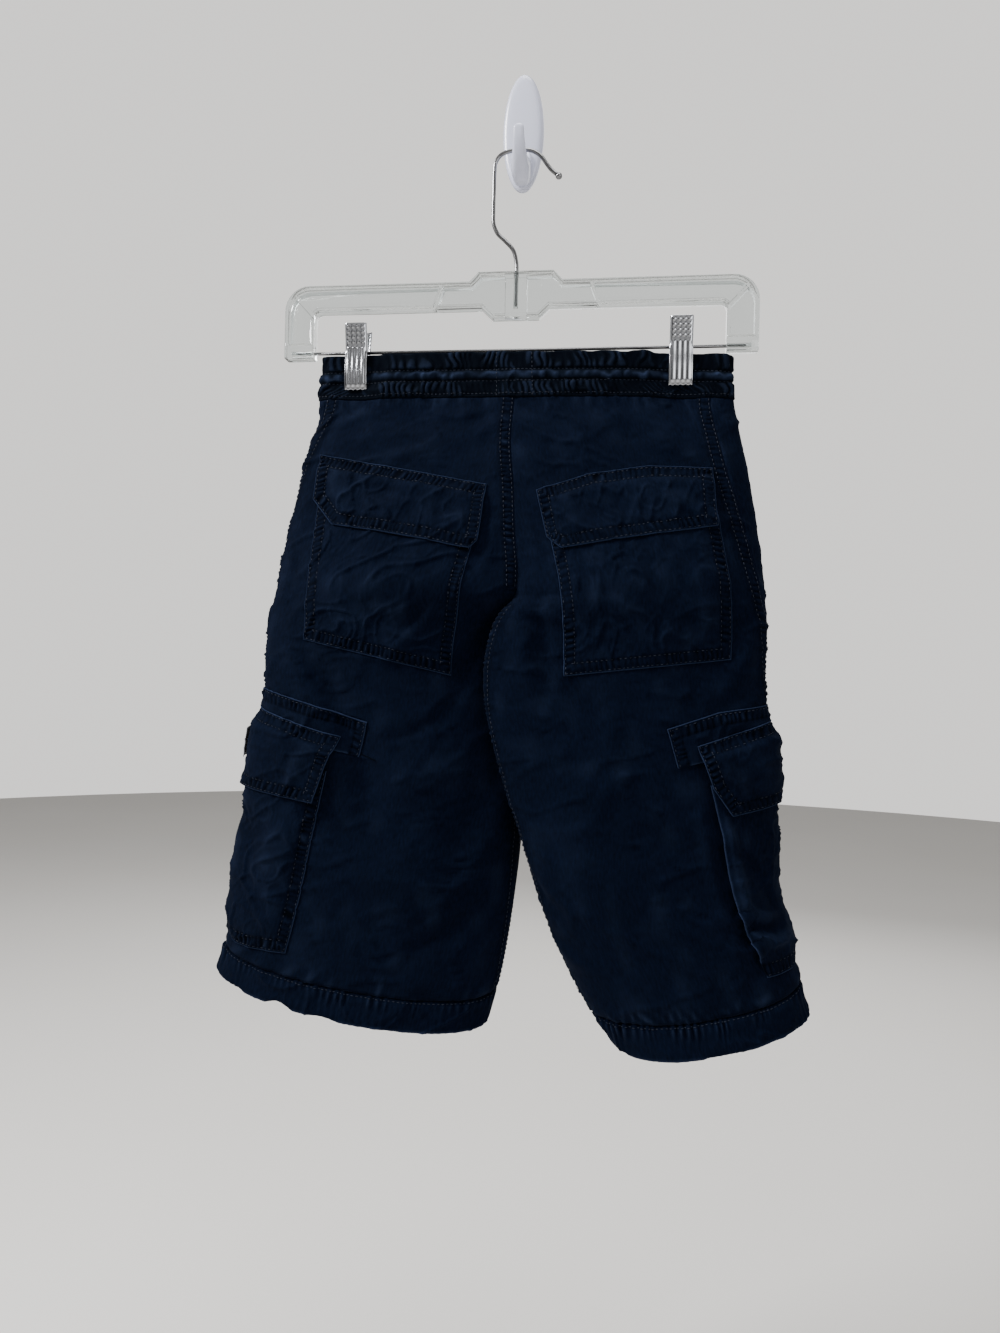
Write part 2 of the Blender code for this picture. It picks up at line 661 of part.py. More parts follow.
def build_frame(finish, parts, cutters):
    """The clear plastic frame: rim, web, ribs, boss and rod sockets, bored for wire and rod."""
    outline = frame_outline()
    centre = (0, HANGER_Y, 0)
    rim = flat_mesh("rim", [outline, inset(outline, RIM)], FRAME_THICKNESS, FACE_ROOM, centre)
    frame = add_object("hanger_frame", rim, finish, parts)
    end = HANGER_WIDTH / 2 - LEG_WIDTH / 2
    joined = [flat_mesh("web", [inset(outline, RIM / 2)], WEB_THICKNESS, FACE_ROOM, centre)]
    joined.append(box_mesh("boss", (HANGER_X, HANGER_Y, (STEP_TOP + STEP_BOTTOM) / 2), (14, 7.6, 27)))
    for way in (-1, 1):
        socket = (HANGER_X + way * end, HANGER_Y, LEG_BOTTOM + SOCKET_HEIGHT / 2 + 0.2)
        joined.append(box_mesh("socket", socket, (LEG_WIDTH - 0.8, FRAME_THICKNESS + 1.4, SOCKET_HEIGHT)))
        rib = [(47, BAR_TOP - 1), (49, BAR_TOP - 1), (54.5, BAR_BOTTOM + 1), (52.5, BAR_BOTTOM + 1)]
        rib = [(HANGER_X + way * x, z) for x, z in rib]
        joined.append(flat_mesh("rib", [rib], FRAME_THICKNESS - 0.8, FACE_ROOM, centre))
        brace = [(146.2, -109), (147.8, -110.6), (134.6, -124.4), (133, -122.8)]
        brace = [(HANGER_X + way * x, z) for x, z in brace]
        joined.append(flat_mesh("brace", [brace], FRAME_THICKNESS - 1.6, FACE_ROOM, centre))
    combine(frame, joined, "UNION", cutters)
    upright = Matrix()
    along_x = Matrix.Rotation(math.radians(90), 4, "Y")
    wire_bore = cylinder_mesh("wire_bore", (HANGER_X, HANGER_Y, -107), WIRE_RADIUS + 0.4, 30, upright, 16)
    rod_bore = cylinder_mesh("rod_bore", (HANGER_X, HANGER_Y, ROD_Z), ROD_RADIUS + 0.35, 296, along_x, 16)
    combine(frame, [wire_bore, rod_bore], "DIFFERENCE", cutters)
    return frame


def build_rod(finish, parts):
    """The steel rod that the clips slide on, its ends in the frame's sockets."""
    along_x = Matrix.Rotation(math.radians(90), 4, "Y")
    rod = cylinder_mesh("hanger_rod", (HANGER_X, HANGER_Y, ROD_Z), ROD_RADIUS, 290, along_x, 12)
    return add_object("hanger_rod", rod, finish, parts)


HOOK_ROUTE = [
    (-0.5, -120.5), (-0.5, -100), (-0.8, -92), (-3, -84), (-8.6, -77.6), (-13.6, -72.6), (-16, -67),
    (-16.5, -58), (-16.5, -45), (-16.4, -33), (-15.8, -27), (-12.8, -22.4), (-6.7, -19.8), (1.0, -19.3),
    (8.0, -20.3), (13.2, -23.6), (17.2, -29), (20.4, -33), (23.6, -35.8),
]
BALL_RADIUS = 2.2


def build_hook(finish, parts, cutters):
    """The bent steel wire that hangs the frame, with the ball that ends it."""
    route = [(x, HANGER_Y, z) for x, z in HOOK_ROUTE]
    path = smooth_path(route, 44)
    wire = add_object("hanger_hook", tube_mesh("hanger_hook", path, WIRE_RADIUS), finish, parts)
    work = bmesh.new()
    bmesh.ops.create_uvsphere(work, u_segments=14, v_segments=9, radius=BALL_RADIUS * MM)
    bmesh.ops.translate(work, vec=[c * MM for c in path[-1]], verts=work.verts)
    ball = bpy.data.meshes.new("ball")
    work.to_mesh(ball)
    work.free()
    combine(wire, [ball], "UNION", cutters)
    return wire


CLIP_HEIGHTS = (-131.7, -173.9)
CLIP_PLACES = {"left": -103.6, "right": 104.6}
SHEET = 0.8
JAW_FACE = 5.1


def build_leaf(name, x, width, to_wall, finish, parts, cutters):
    """One leaf of a clip: a bent plate with a lip that bites and two ears over the rod."""
    top, bottom = CLIP_HEIGHTS
    face = [(10.5, top), (7.6, -146), (6.8, bottom + 2.4), (JAW_FACE + 1.0, bottom)]
    back = [(JAW_FACE, bottom + 0.5), (JAW_FACE + 1.2, bottom + 2.2), (6.0, bottom + 3.4)]
    back += [(6.8, -146), (9.7, top)]
    profile = [(HANGER_Y + to_wall * out, z) for out, z in face + back]
    leaf = add_object(name, flat_mesh(name, [profile], width, FACE_SIDE, (x, 0, 0)), finish, parts)
    ear = [(8.2, -142.5), (2.6, -143.2), (-1.0, -145.4), (-2.4, -147), (-2.4, -149)]
    ear += [(-1.45, -149)] + arc((0, ROD_Z), 1.45, 180, 0, 6) + [(1.45, -149), (7.0, -149)]
    ear = [(HANGER_Y + to_wall * out, z) for out, z in ear]
    places = [x + way * (width - SHEET - 0.1) / 2 for way in (-1, 1)]
    ears = [flat_mesh("ear", [ear], SHEET, FACE_SIDE, (place, 0, 0)) for place in places]
    combine(leaf, ears, "UNION", cutters)
    return leaf


def build_clip(side, finish, parts, cutters):
    """A clip: a leaf to the room, a narrower one to the wall, and the spring between them."""
    x = CLIP_PLACES[side]
    build_leaf(f"clip_{side}_room_leaf", x, 14.6, -1, finish, parts, cutters)
    build_leaf(f"clip_{side}_wall_leaf", x, 12.4, 1, finish, parts, cutters)
    along_x = Matrix.Rotation(math.radians(90), 4, "Y")
    middle = (x, HANGER_Y, ROD_Z)
    coil = cylinder_mesh(f"clip_{side}_spring", middle, 1.95, 8.0, along_x, 16)
    spring = add_object(f"clip_{side}_spring", coil, finish, parts)
    combine(spring, [cylinder_mesh("bore", middle, ROD_RADIUS + 0.3, 12, along_x, 16)], "DIFFERENCE", cutters)


PLATE_HALF_WIDTH = 13.5
PLATE_HALF_HEIGHT = 38.5
PLATE_THICKNESS = 5.0
PRONG_OUTSIDE = [(-3.5, -36), (-10, -36), (-17.5, -33), (-24, -27), (-28.4, -18), (-30.4, -8.5)]
PRONG_INSIDE = [
    (-28.0, -7.9), (-26.2, -14.5), (-23, -19.3), (-18, -21.6), (-12.5, -21), (-8, -17.5), (-3.5, -10),
]


def build_wall_hook(finish, parts, cutters):
    """The white plastic wall hook: a domed oval plate and the prong that rises from its foot."""
    squash = (PLATE_HALF_WIDTH / PLATE_HALF_HEIGHT, 1, 1)
    plate = cylinder_mesh(
        "wall_hook", (0, -PLATE_THICKNESS / 2, 0), PLATE_HALF_HEIGHT, PLATE_THICKNESS, FACE_ROOM, 40, squash
    )
    for vertex in plate.vertices:
        if vertex.co.y < -PLATE_THICKNESS / 2 * MM:
            vertex.co.x *= 0.78
            vertex.co.z *= 0.93
    hook = add_object("wall_hook", plate, finish, parts)
    prong = flat_mesh("prong", [PRONG_OUTSIDE + PRONG_INSIDE], 12.4, FACE_SIDE, (0, 0, 0))
    for vertex in prong.vertices:
        out = np.clip((-vertex.co.y / MM - 14) / 16, 0, 1)
        vertex.co.x *= 1 - 0.5 * out
    tool = add_object("prong", prong, None, cutters)
    bevel(tool, 0.9, 2)
    graph = bpy.context.evaluated_depsgraph_get()
    rounded = bpy.data.meshes.new_from_object(tool.evaluated_get(graph))
    bpy.data.objects.remove(tool, do_unlink=True)
    combine(hook, [rounded], "UNION", cutters)
    return hook


# ---- the garment ---------------------------------------------------------------------------
def side_to_side(left, right):
    """Columns all round both halves, from centre back by the left side to centre back."""
    def joined(a, b):
        return np.concatenate([a[:, :-1], b[:, ::-1][:, :-1]], axis=1)

    points = joined(left.points, right.points)
    normals = joined(left.normals, right.normals)
    return points, normals


def build_half(side, half, grid, cloths, parts):
    """One half's two panels and its hem."""
    rows = slice(0, len(grid.level))
    back, front = slice(0, BACK_COLUMNS + 1), slice(BACK_COLUMNS, BACK_COLUMNS + FRONT_COLUMNS + 1)
    panel(f"back_{side}", grid, rows, back, CLOTH, cloths["twill"], parts)
    panel(f"front_{side}", grid, rows, front, CLOTH, cloths["twill"], parts)
    hem = half.grid([HEM_SEAM, (HEM_SEAM + HEM_EDGE) / 2, HEM_EDGE])
    ring(f"hem_{side}", hem.points[:, :-1].copy(), hem.normals[:, :-1], DOUBLE_CLOTH, cloths["hem"], parts)


def build_pockets(side, grid, pocket, flap, sewn_edges, cloths, parts):
    """A patch pocket on the seat and its flap, which is sewn down along some of its edges."""
    base = pocket_height(pocket, range(len(pocket)), BACK_POCKET_BULGE)
    sewn_on(f"back_pocket_{side}", grid, pocket, base, CLOTH, cloths["pocket"], parts)
    clear = BACK_POCKET_BULGE + CLOTH + 0.5
    lift = flap_height(flap, sewn_edges, SEAM_GAP, clear)
    sewn_on(f"back_flap_{side}", grid, flap, lift, DOUBLE_CLOTH, cloths["flap"], parts)


def build_cargo(side, grid, patch, pocket, flap, cloths, parts):
    """A bellows pocket on the side of the leg, its flap, and the patch behind the flap's seam.
    The pocket's first edge is its mouth, and the flap's first two are sewn down."""
    sewn_on(f"cargo_patch_{side}", grid, patch, lambda places: 0 * places[:, 0] + SEAM_GAP,
            PATCH_CLOTH, cloths["patch"], parts)
    closed = list(range(1, len(pocket)))
    sewn_on(f"cargo_pocket_{side}", grid, pocket, pocket_height(pocket, closed, CARGO_BULGE),
            CLOTH, cloths["pocket"], parts)
    base = 2 * SEAM_GAP + PATCH_CLOTH
    lift = flap_height(flap, [0, 1], base, CARGO_BULGE + CLOTH)
    sewn_on(f"cargo_flap_{side}", grid, flap, lift, DOUBLE_CLOTH, cloths["flap"], parts)
    return lift


def build_garment(parts):
    """All the cloth pieces."""
    navy = (0.010, 0.020, 0.042)
    cloths = {
        "twill": material("navy twill", navy, 0.9),
        "hem": material("navy twill hem", (0.012, 0.023, 0.046), 0.9),
        "band": material("navy elasticated band", (0.009, 0.017, 0.036), 0.92),
        "pocket": material("navy twill pocket", (0.011, 0.022, 0.045), 0.9),
        "flap": material("navy twill flap", (0.009, 0.018, 0.038), 0.9),
        "patch": material("navy twill patch", (0.010, 0.019, 0.040), 0.9),
        "label": material("grey woven label", (0.42, 0.42, 0.43), 0.8),
    }
    left = Half(-1, LEFT_SIDE, LEFT_INSEAM_BACK, facing(LEFT_INSEAM_BACK), LEFT_FOLDS)
    right = Half(1, RIGHT_SIDE, RIGHT_INSEAM_BACK, facing(RIGHT_INSEAM_BACK), RIGHT_FOLDS)
    left_grid, right_grid = left.grid(PANEL_LEVELS), right.grid(PANEL_LEVELS)
    share_centre_seams(left_grid, right_grid)
    build_half("left", left, left_grid, cloths, parts)
    build_half("right", right, right_grid, cloths, parts)
    points, normals = side_to_side(left.grid(BAND_LEVELS), right.grid(BAND_LEVELS))
    ring("waistband", points, normals, ELASTIC_BAND, cloths["band"], parts)
    build_pockets("left", left_grid, LEFT_POCKET, LEFT_FLAP, [0], cloths, parts)
    build_pockets("right", right_grid, RIGHT_POCKET, RIGHT_FLAP, [0, 1, 2], cloths, parts)
    left_cargo = LEFT_CARGO_PATCH, LEFT_CARGO_POCKET, LEFT_CARGO_FLAP
    right_cargo = RIGHT_CARGO_PATCH, RIGHT_CARGO_POCKET, RIGHT_CARGO_FLAP
    lift = build_cargo("left", left_grid, *left_cargo, cloths, parts)
    build_cargo("right", right_grid, *right_cargo, cloths, parts)
    sewn_on("cargo_label", left_grid, LABEL, lambda places: lift(places) + DOUBLE_CLOTH + SEAM_GAP,
            0.8, cloths["label"], parts)


def build_hanger(parts, cutters):
    """The hanger, its two clips and the wall hook."""
    clear = material("clear styrene", (0.80, 0.82, 0.82), 0.12, alpha=0.35)
    steel = material("bright steel wire", (0.62, 0.62, 0.62), 0.28, 1.0)
    chrome = material("chromed sheet steel", (0.74, 0.74, 0.75), 0.16, 1.0)
    white = material("white moulded plastic", (0.80, 0.80, 0.86), 0.35)
    build_frame(clear, parts, cutters)
    build_rod(steel, parts)
    build_hook(steel, parts, cutters)
    for side in CLIP_PLACES:
        build_clip(side, chrome, parts, cutters)
    build_wall_hook(white, parts, cutters)


def main():
    """Build the shorts on their hanger and wall hook."""
    clear_scene()
    parts = new_collection("cargo shorts on a hanger")
    cutters = new_collection("cutters")
    build_garment(parts)
    build_hanger(parts, cutters)


main()
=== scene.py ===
"""Looks of a boy's washed cargo shorts that hang, back to the room, from a clear clip hanger.

The shorts' surface is worked out once for each leg, as points addressed by their place on the
cloth: how far round the leg from its side fold, and how far down from the waist seam. Every
panel, pocket, flap, hem and seam is then a thin shell on that surface, with creases, puckers
and stitches of its own. Cloth sizes are millimetres, and meshes are metres. The frame is the
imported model's: +Y points into the wall, +X is to the right of someone facing it, +Z is up.
"""

from __future__ import annotations

import logging
import math
from collections.abc import Sequence
from dataclasses import dataclass, field
from enum import Enum
from typing import Any, NamedTuple

import bmesh
import bpy
import numpy as np
from mathutils import Matrix, Vector


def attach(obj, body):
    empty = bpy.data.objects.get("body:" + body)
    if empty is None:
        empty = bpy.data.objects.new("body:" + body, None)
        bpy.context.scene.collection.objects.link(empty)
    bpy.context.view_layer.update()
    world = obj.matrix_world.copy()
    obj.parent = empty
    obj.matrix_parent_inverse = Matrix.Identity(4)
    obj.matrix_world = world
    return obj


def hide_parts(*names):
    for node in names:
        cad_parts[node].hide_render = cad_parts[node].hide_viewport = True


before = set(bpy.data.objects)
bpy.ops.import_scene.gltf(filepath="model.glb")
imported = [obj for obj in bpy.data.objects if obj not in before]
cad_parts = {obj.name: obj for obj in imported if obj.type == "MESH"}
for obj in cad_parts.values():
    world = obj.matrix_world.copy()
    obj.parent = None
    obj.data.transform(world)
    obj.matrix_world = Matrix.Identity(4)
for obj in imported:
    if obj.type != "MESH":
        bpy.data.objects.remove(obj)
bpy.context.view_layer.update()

LOG = logging.getLogger("cargo shorts")
MM = 0.001
Array = np.ndarray
Place = tuple[float, float]


# ---- small helpers -------------------------------------------------------------------------
def linear(colour: str) -> tuple[float, float, float, float]:
    """Turn a colour written in sRGB hex into linear light.

    Args:
        colour: six hex digits after a hash.

    Returns:
        Red, green, blue and an alpha of 1.
    """
    parts = [int(colour[k : k + 2], 16) / 255 for k in (1, 3, 5)]
    return (*(c / 12.92 if c <= 0.04045 else ((c + 0.055) / 1.055) ** 2.4 for c in parts), 1.0)


def add_node(tree: bpy.types.NodeTree, kind: str, inputs: dict[Any, Any] | None = None, **settings: Any):
    """Add a node with its settings, and give each input a value or a link.

    Args:
        tree: the tree that takes the node.
        kind: the node's type name.
        inputs: a value, or the socket to link from, for each input by name or number.
        **settings: attributes of the node itself.

    Returns:
        The new node.
    """
    node = tree.nodes.new(kind)
    for name, value in settings.items():
        setattr(node, name, value)
    for key, value in (inputs or {}).items():
        socket = node.inputs[key]
        if isinstance(value, bpy.types.NodeSocket):
            tree.links.new(value, socket)
        else:
            socket.default_value = value
    return node


def math_node(
    tree: bpy.types.NodeTree, operation: str, inputs: dict[int | str, Any], **settings: Any
) -> bpy.types.NodeSocket:
    """Add a math node and give its result."""
    return add_node(tree, "ShaderNodeMath", inputs, operation=operation, **settings).outputs[0]


def unit(vectors: Array) -> Array:
    """Vectors of length 1."""
    return vectors / np.maximum(np.linalg.norm(vectors, axis=-1, keepdims=True), 1e-12)


def ramp(distance: Array, reach: float) -> Array:
    """Rise smoothly from 0 to 1 over a distance."""
    t = np.clip(distance / reach, 0, 1)
    return t * t * (3 - 2 * t)


def groove(distance: Array, width: float) -> Array:
    """A soft line: 1 on it, falling to 0 over a width on both sides."""
    return np.exp(-((distance / width) ** 2))


class Ripple:
    """Smooth noise on a plane, the same in every run."""

    SIZE = 64

    def __init__(self, seed: int) -> None:
        """Fill the lattice from a seed."""
        self.lattice = np.random.default_rng(seed).normal(size=(self.SIZE, self.SIZE))

    def __call__(self, x: Array, y: Array | float = 0.0) -> Array:
        """Read the noise.

        Args:
            x: places in lattice steps.
            y: the same, across.

        Returns:
            Values that mostly lie between -1 and 1.
        """
        x, y = np.broadcast_arrays(np.asarray(x, float), np.asarray(y, float))
        i, j = np.floor(x).astype(int), np.floor(y).astype(int)
        u, v = x - i, y - j
        u, v = u * u * (3 - 2 * u), v * v * (3 - 2 * v)
        cell = self.lattice
        n = self.SIZE
        a, b = cell[i % n, j % n], cell[(i + 1) % n, j % n]
        c, d = cell[i % n, (j + 1) % n], cell[(i + 1) % n, (j + 1) % n]
        return 0.6 * ((a * (1 - u) + b * u) * (1 - v) + (c * (1 - u) + d * u) * v)


# ---- finishes ------------------------------------------------------------------------------
class Slot(Enum):
    """Names of the material slots."""

    TWILL = "navy_twill"
    BAND = "navy_band"
    LABEL = "woven_label"
    PLASTIC = "clear_plastic"
    STEEL = "steel_wire"
    CHROME = "chromed_sheet"
    WHITE = "white_plastic"


def new_material(name: str) -> tuple[bpy.types.Material, bpy.types.NodeTree, bpy.types.Node]:
    """Start a material.

    Args:
        name: the material's name.

    Returns:
        The material, its tree and its Principled shader.
    """
    made = bpy.data.materials.new(name)
    made.use_nodes = True
    return made, made.node_tree, made.node_tree.nodes["Principled BSDF"]


@dataclass(frozen=True)
class WashedTwill:
    """Garment-washed cotton twill: brushed by the wash, so matt, mottled and pale where it rubs.

    Its colour follows the piece's own attribute of wear and painted shade: above nought it turns
    pale towards the worn colour, and below nought it darkens towards the shade colour, which is
    painted shade in grooves, pucker troughs and stitch rows. Its pattern follows the piece's UV
    map, which is in metres of cloth. Real wales are 0.5 mm apart; they are drawn at wale_mm to show.
    """

    name: str = "washed navy cotton twill"
    deep: str = "#01040D"
    mid: str = "#060D1E"
    worn: str = "#2C3853"
    # painted shade: the near-black that grooves, pucker troughs and stitch rows darken to
    shade: str = "#000208"
    wale_mm: float = 1.0
    streak_mm: float = 1.2
    cloud_mm: float = 32.0

    def build(self) -> bpy.types.Material:
        """Make the material."""
        made, tree, shader = new_material(self.name)
        uv = add_node(tree, "ShaderNodeUVMap", uv_map="cloth").outputs[0]
        wear_and_shade = add_node(tree, "ShaderNodeAttribute", attribute_name="wear_and_shade").outputs["Fac"]
        cloud = add_node(
            tree, "ShaderNodeTexNoise", {"Vector": uv, "Scale": 1 / (self.cloud_mm * MM), "Detail": 4.0}
        ).outputs["Fac"]
        long = add_node(tree, "ShaderNodeMapping", {"Vector": uv, "Scale": (1.0, 0.3, 1.0)}).outputs[0]
        streak = add_node(
            tree, "ShaderNodeTexNoise", {"Vector": long, "Scale": 1 / (self.streak_mm * MM), "Detail": 3.0}
        ).outputs["Fac"]
        speck = add_node(tree, "ShaderNodeTexNoise", {"Vector": uv, "Scale": 900.0, "Detail": 2.0}).outputs["Fac"]
        tone = add_node(
            tree, "ShaderNodeMath", {0: cloud, 1: 0.5, 2: -0.55}, operation="MULTIPLY_ADD"
        ).outputs[0]
        tone = add_node(
            tree, "ShaderNodeMath", {0: streak, 1: 1.7, 2: tone}, operation="MULTIPLY_ADD",
            use_clamp=True,
        ).outputs[0]
        body = add_node(
            tree, "ShaderNodeMix", {0: tone, 6: linear(self.deep), 7: linear(self.mid)}, data_type="RGBA"
        ).outputs[2]
        rub = math_node(tree, "MULTIPLY_ADD", {0: speck, 1: 0.9, 2: 0.55})
        rub = math_node(tree, "MULTIPLY", {0: rub, 1: wear_and_shade}, use_clamp=True)
        colour = add_node(
            tree, "ShaderNodeMix", {0: rub, 6: body, 7: linear(self.worn)}, data_type="RGBA"
        ).outputs[2]
        # painted shade: below nought the attribute darkens the colour towards the shade colour
        painted_shade_share = add_node(
            tree, "ShaderNodeMath", {0: wear_and_shade, 1: -1.0}, operation="MULTIPLY", use_clamp=True
        ).outputs[0]
        colour = add_node(
            tree, "ShaderNodeMix", {0: painted_shade_share, 6: colour, 7: linear(self.shade)}, data_type="RGBA"
        ).outputs[2]
        wales = add_node(
            tree, "ShaderNodeTexWave", {"Vector": uv, "Scale": 2 * math.pi / (10 * self.wale_mm * MM),
            "Distortion": 0.6, "Detail": 1.0, "Detail Scale": 2.0}, bands_direction="DIAGONAL",
        ).outputs["Fac"]
        height = math_node(tree, "MULTIPLY_ADD", {0: wales, 1: 0.35, 2: speck})
        height = math_node(tree, "MULTIPLY_ADD", {0: streak, 1: 0.8, 2: height})
        bump = add_node(
            tree, "ShaderNodeBump", {"Height": height, "Strength": 0.35, "Distance": 0.25 * MM}
        ).outputs[0]
        tree.links.new(colour, shader.inputs["Base Color"])
        tree.links.new(bump, shader.inputs["Normal"])
        shader.inputs["Roughness"].default_value = 0.92
        shader.inputs["Specular IOR Level"].default_value = 0.03
        shader.inputs["Sheen Weight"].default_value = 0.03
        shader.inputs["Sheen Roughness"].default_value = 0.55
        shader.inputs["Sheen Tint"].default_value = linear("#6C7FA6")
        return made


@dataclass(frozen=True)
class SewingThread:
    """Spun polyester thread, dyed with the cloth but a little paler: it dots every seam."""

    name: str = "navy sewing thread"
    light: str = "#121B31"
    dark: str = "#03070F"

    def build(self) -> bpy.types.Material:
        """Make the material."""
        made, tree, shader = new_material(self.name)
        place = add_node(tree, "ShaderNodeTexCoord").outputs["Object"]
        noise = add_node(tree, "ShaderNodeTexNoise", {"Vector": place, "Scale": 180.0, "Detail": 2.0}).outputs["Fac"]
        colour = add_node(
            tree, "ShaderNodeMix", {0: noise, 6: linear(self.dark), 7: linear(self.light)}, data_type="RGBA"
        ).outputs[2]
        tree.links.new(colour, shader.inputs["Base Color"])
        shader.inputs["Roughness"].default_value = 0.7
        shader.inputs["Specular IOR Level"].default_value = 0.3
        return made


@dataclass(frozen=True)
class LabelTape:
    """Woven polyester tape: pale grey with fine ribs across it."""

    name: str = "grey woven tape"
    pale: str = "#75777D"
    grey: str = "#4E5056"
    rib_mm: float = 0.8

    def build(self) -> bpy.types.Material:
        """Make the material."""
        made, tree, shader = new_material(self.name)
        uv = add_node(tree, "ShaderNodeUVMap", uv_map="cloth").outputs[0]
        ribs = add_node(
            tree, "ShaderNodeTexWave", {"Vector": uv, "Scale": 2 * math.pi / (20 * self.rib_mm * MM)},
            bands_direction="Y",
        ).outputs["Fac"]
        colour = add_node(
            tree, "ShaderNodeMix", {0: ribs, 6: linear(self.grey), 7: linear(self.pale)}, data_type="RGBA"
        ).outputs[2]
        bump = add_node(tree, "ShaderNodeBump", {"Height": ribs, "Strength": 0.4, "Distance": 0.1 * MM}).outputs[0]
        tree.links.new(colour, shader.inputs["Base Color"])
        tree.links.new(bump, shader.inputs["Normal"])
        shader.inputs["Roughness"].default_value = 0.6
        return made


@dataclass(frozen=True)
class ClearStyrene:
    """Injection-moulded clear polystyrene: glassy, a little grey, with faint flow lines."""

    name: str = "clear moulded polystyrene"
    tint: str = "#D9DEDE"

    def build(self) -> bpy.types.Material:
        """Make the material."""
        made, tree, shader = new_material(self.name)
        place = add_node(tree, "ShaderNodeTexCoord").outputs["Object"]
        flow = add_node(tree, "ShaderNodeMapping", {"Vector": place, "Scale": (20.0, 60.0, 90.0)}).outputs[0]
        noise = add_node(tree, "ShaderNodeTexNoise", {"Vector": flow, "Scale": 1.0, "Detail": 2.0}).outputs["Fac"]
        bump = add_node(tree, "ShaderNodeBump", {"Height": noise, "Strength": 0.12, "Distance": 0.4 * MM}).outputs[0]
        rough = math_node(tree, "MULTIPLY_ADD", {0: noise, 1: 0.06, 2: 0.03})
        tree.links.new(bump, shader.inputs["Normal"])
        tree.links.new(rough, shader.inputs["Roughness"])
        shader.inputs["Base Color"].default_value = linear(self.tint)
        shader.inputs["Transmission Weight"].default_value = 1.0
        shader.inputs["IOR"].default_value = 1.49
        return made


@dataclass(frozen=True)
class PlatedMetal:
    """Bright metal with the faint lines and wear of its making."""

    name: str
    colour: str
    roughness: float
    line_mm: float

    def build(self) -> bpy.types.Material:
        """Make the material."""
        made, tree, shader = new_material(self.name)
        place = add_node(tree, "ShaderNodeTexCoord").outputs["Object"]
        noise = add_node(
            tree, "ShaderNodeTexNoise", {"Vector": place, "Scale": 1 / (self.line_mm * MM), "Detail": 3.0}
        ).outputs["Fac"]
        rough = add_node(
            tree, "ShaderNodeMath", {0: noise, 1: 0.14, 2: self.roughness - 0.05}, operation="MULTIPLY_ADD"
        ).outputs[0]
        bump = add_node(tree, "ShaderNodeBump", {"Height": noise, "Strength": 0.08, "Distance": 0.1 * MM}).outputs[0]
        tree.links.new(rough, shader.inputs["Roughness"])
        tree.links.new(bump, shader.inputs["Normal"])
        shader.inputs["Base Color"].default_value = linear(self.colour)
        shader.inputs["Metallic"].default_value = 1.0
        return made


@dataclass(frozen=True)
class WhiteMoulding:
    """Glossy white ABS, injection-moulded: bright, faintly cool, with soft mould waviness."""

    name: str = "glossy white moulded ABS"
    colour: str = "#C6C9DB"

    def build(self) -> bpy.types.Material:
        """Make the material."""
        made, tree, shader = new_material(self.name)
        place = add_node(tree, "ShaderNodeTexCoord").outputs["Object"]
        noise = add_node(tree, "ShaderNodeTexNoise", {"Vector": place, "Scale": 120.0, "Detail": 2.0}).outputs["Fac"]
        rough = math_node(tree, "MULTIPLY_ADD", {0: noise, 1: 0.12, 2: 0.18})
        bump = add_node(tree, "ShaderNodeBump", {"Height": noise, "Strength": 0.05, "Distance": 0.2 * MM}).outputs[0]
        tree.links.new(rough, shader.inputs["Roughness"])
        tree.links.new(bump, shader.inputs["Normal"])
        shader.inputs["Base Color"].default_value = linear(self.colour)
        shader.inputs["IOR"].default_value = 1.53
        return made


@dataclass
class Finishes:
    """Every material of the object, made once."""

    twill: bpy.types.Material = field(default_factory=lambda: WashedTwill().build())
    band: bpy.types.Material = field(
        default_factory=lambda: WashedTwill(name="ruched navy cotton twill", deep="#000207", mid="#03070F").build()
    )
    thread: bpy.types.Material = field(default_factory=lambda: SewingThread().build())
    label: bpy.types.Material = field(default_factory=lambda: LabelTape().build())
    plastic: bpy.types.Material = field(default_factory=lambda: ClearStyrene().build())
    wire: bpy.types.Material = field(
        default_factory=lambda: PlatedMetal("bright drawn steel wire", "#7F7F81", 0.22, 3.0).build()
    )
    chrome: bpy.types.Material = field(
        default_factory=lambda: PlatedMetal("chromed pressed steel", "#AEB0B5", 0.14, 6.0).build()
    )
    white: bpy.types.Material = field(default_factory=lambda: WhiteMoulding().build())


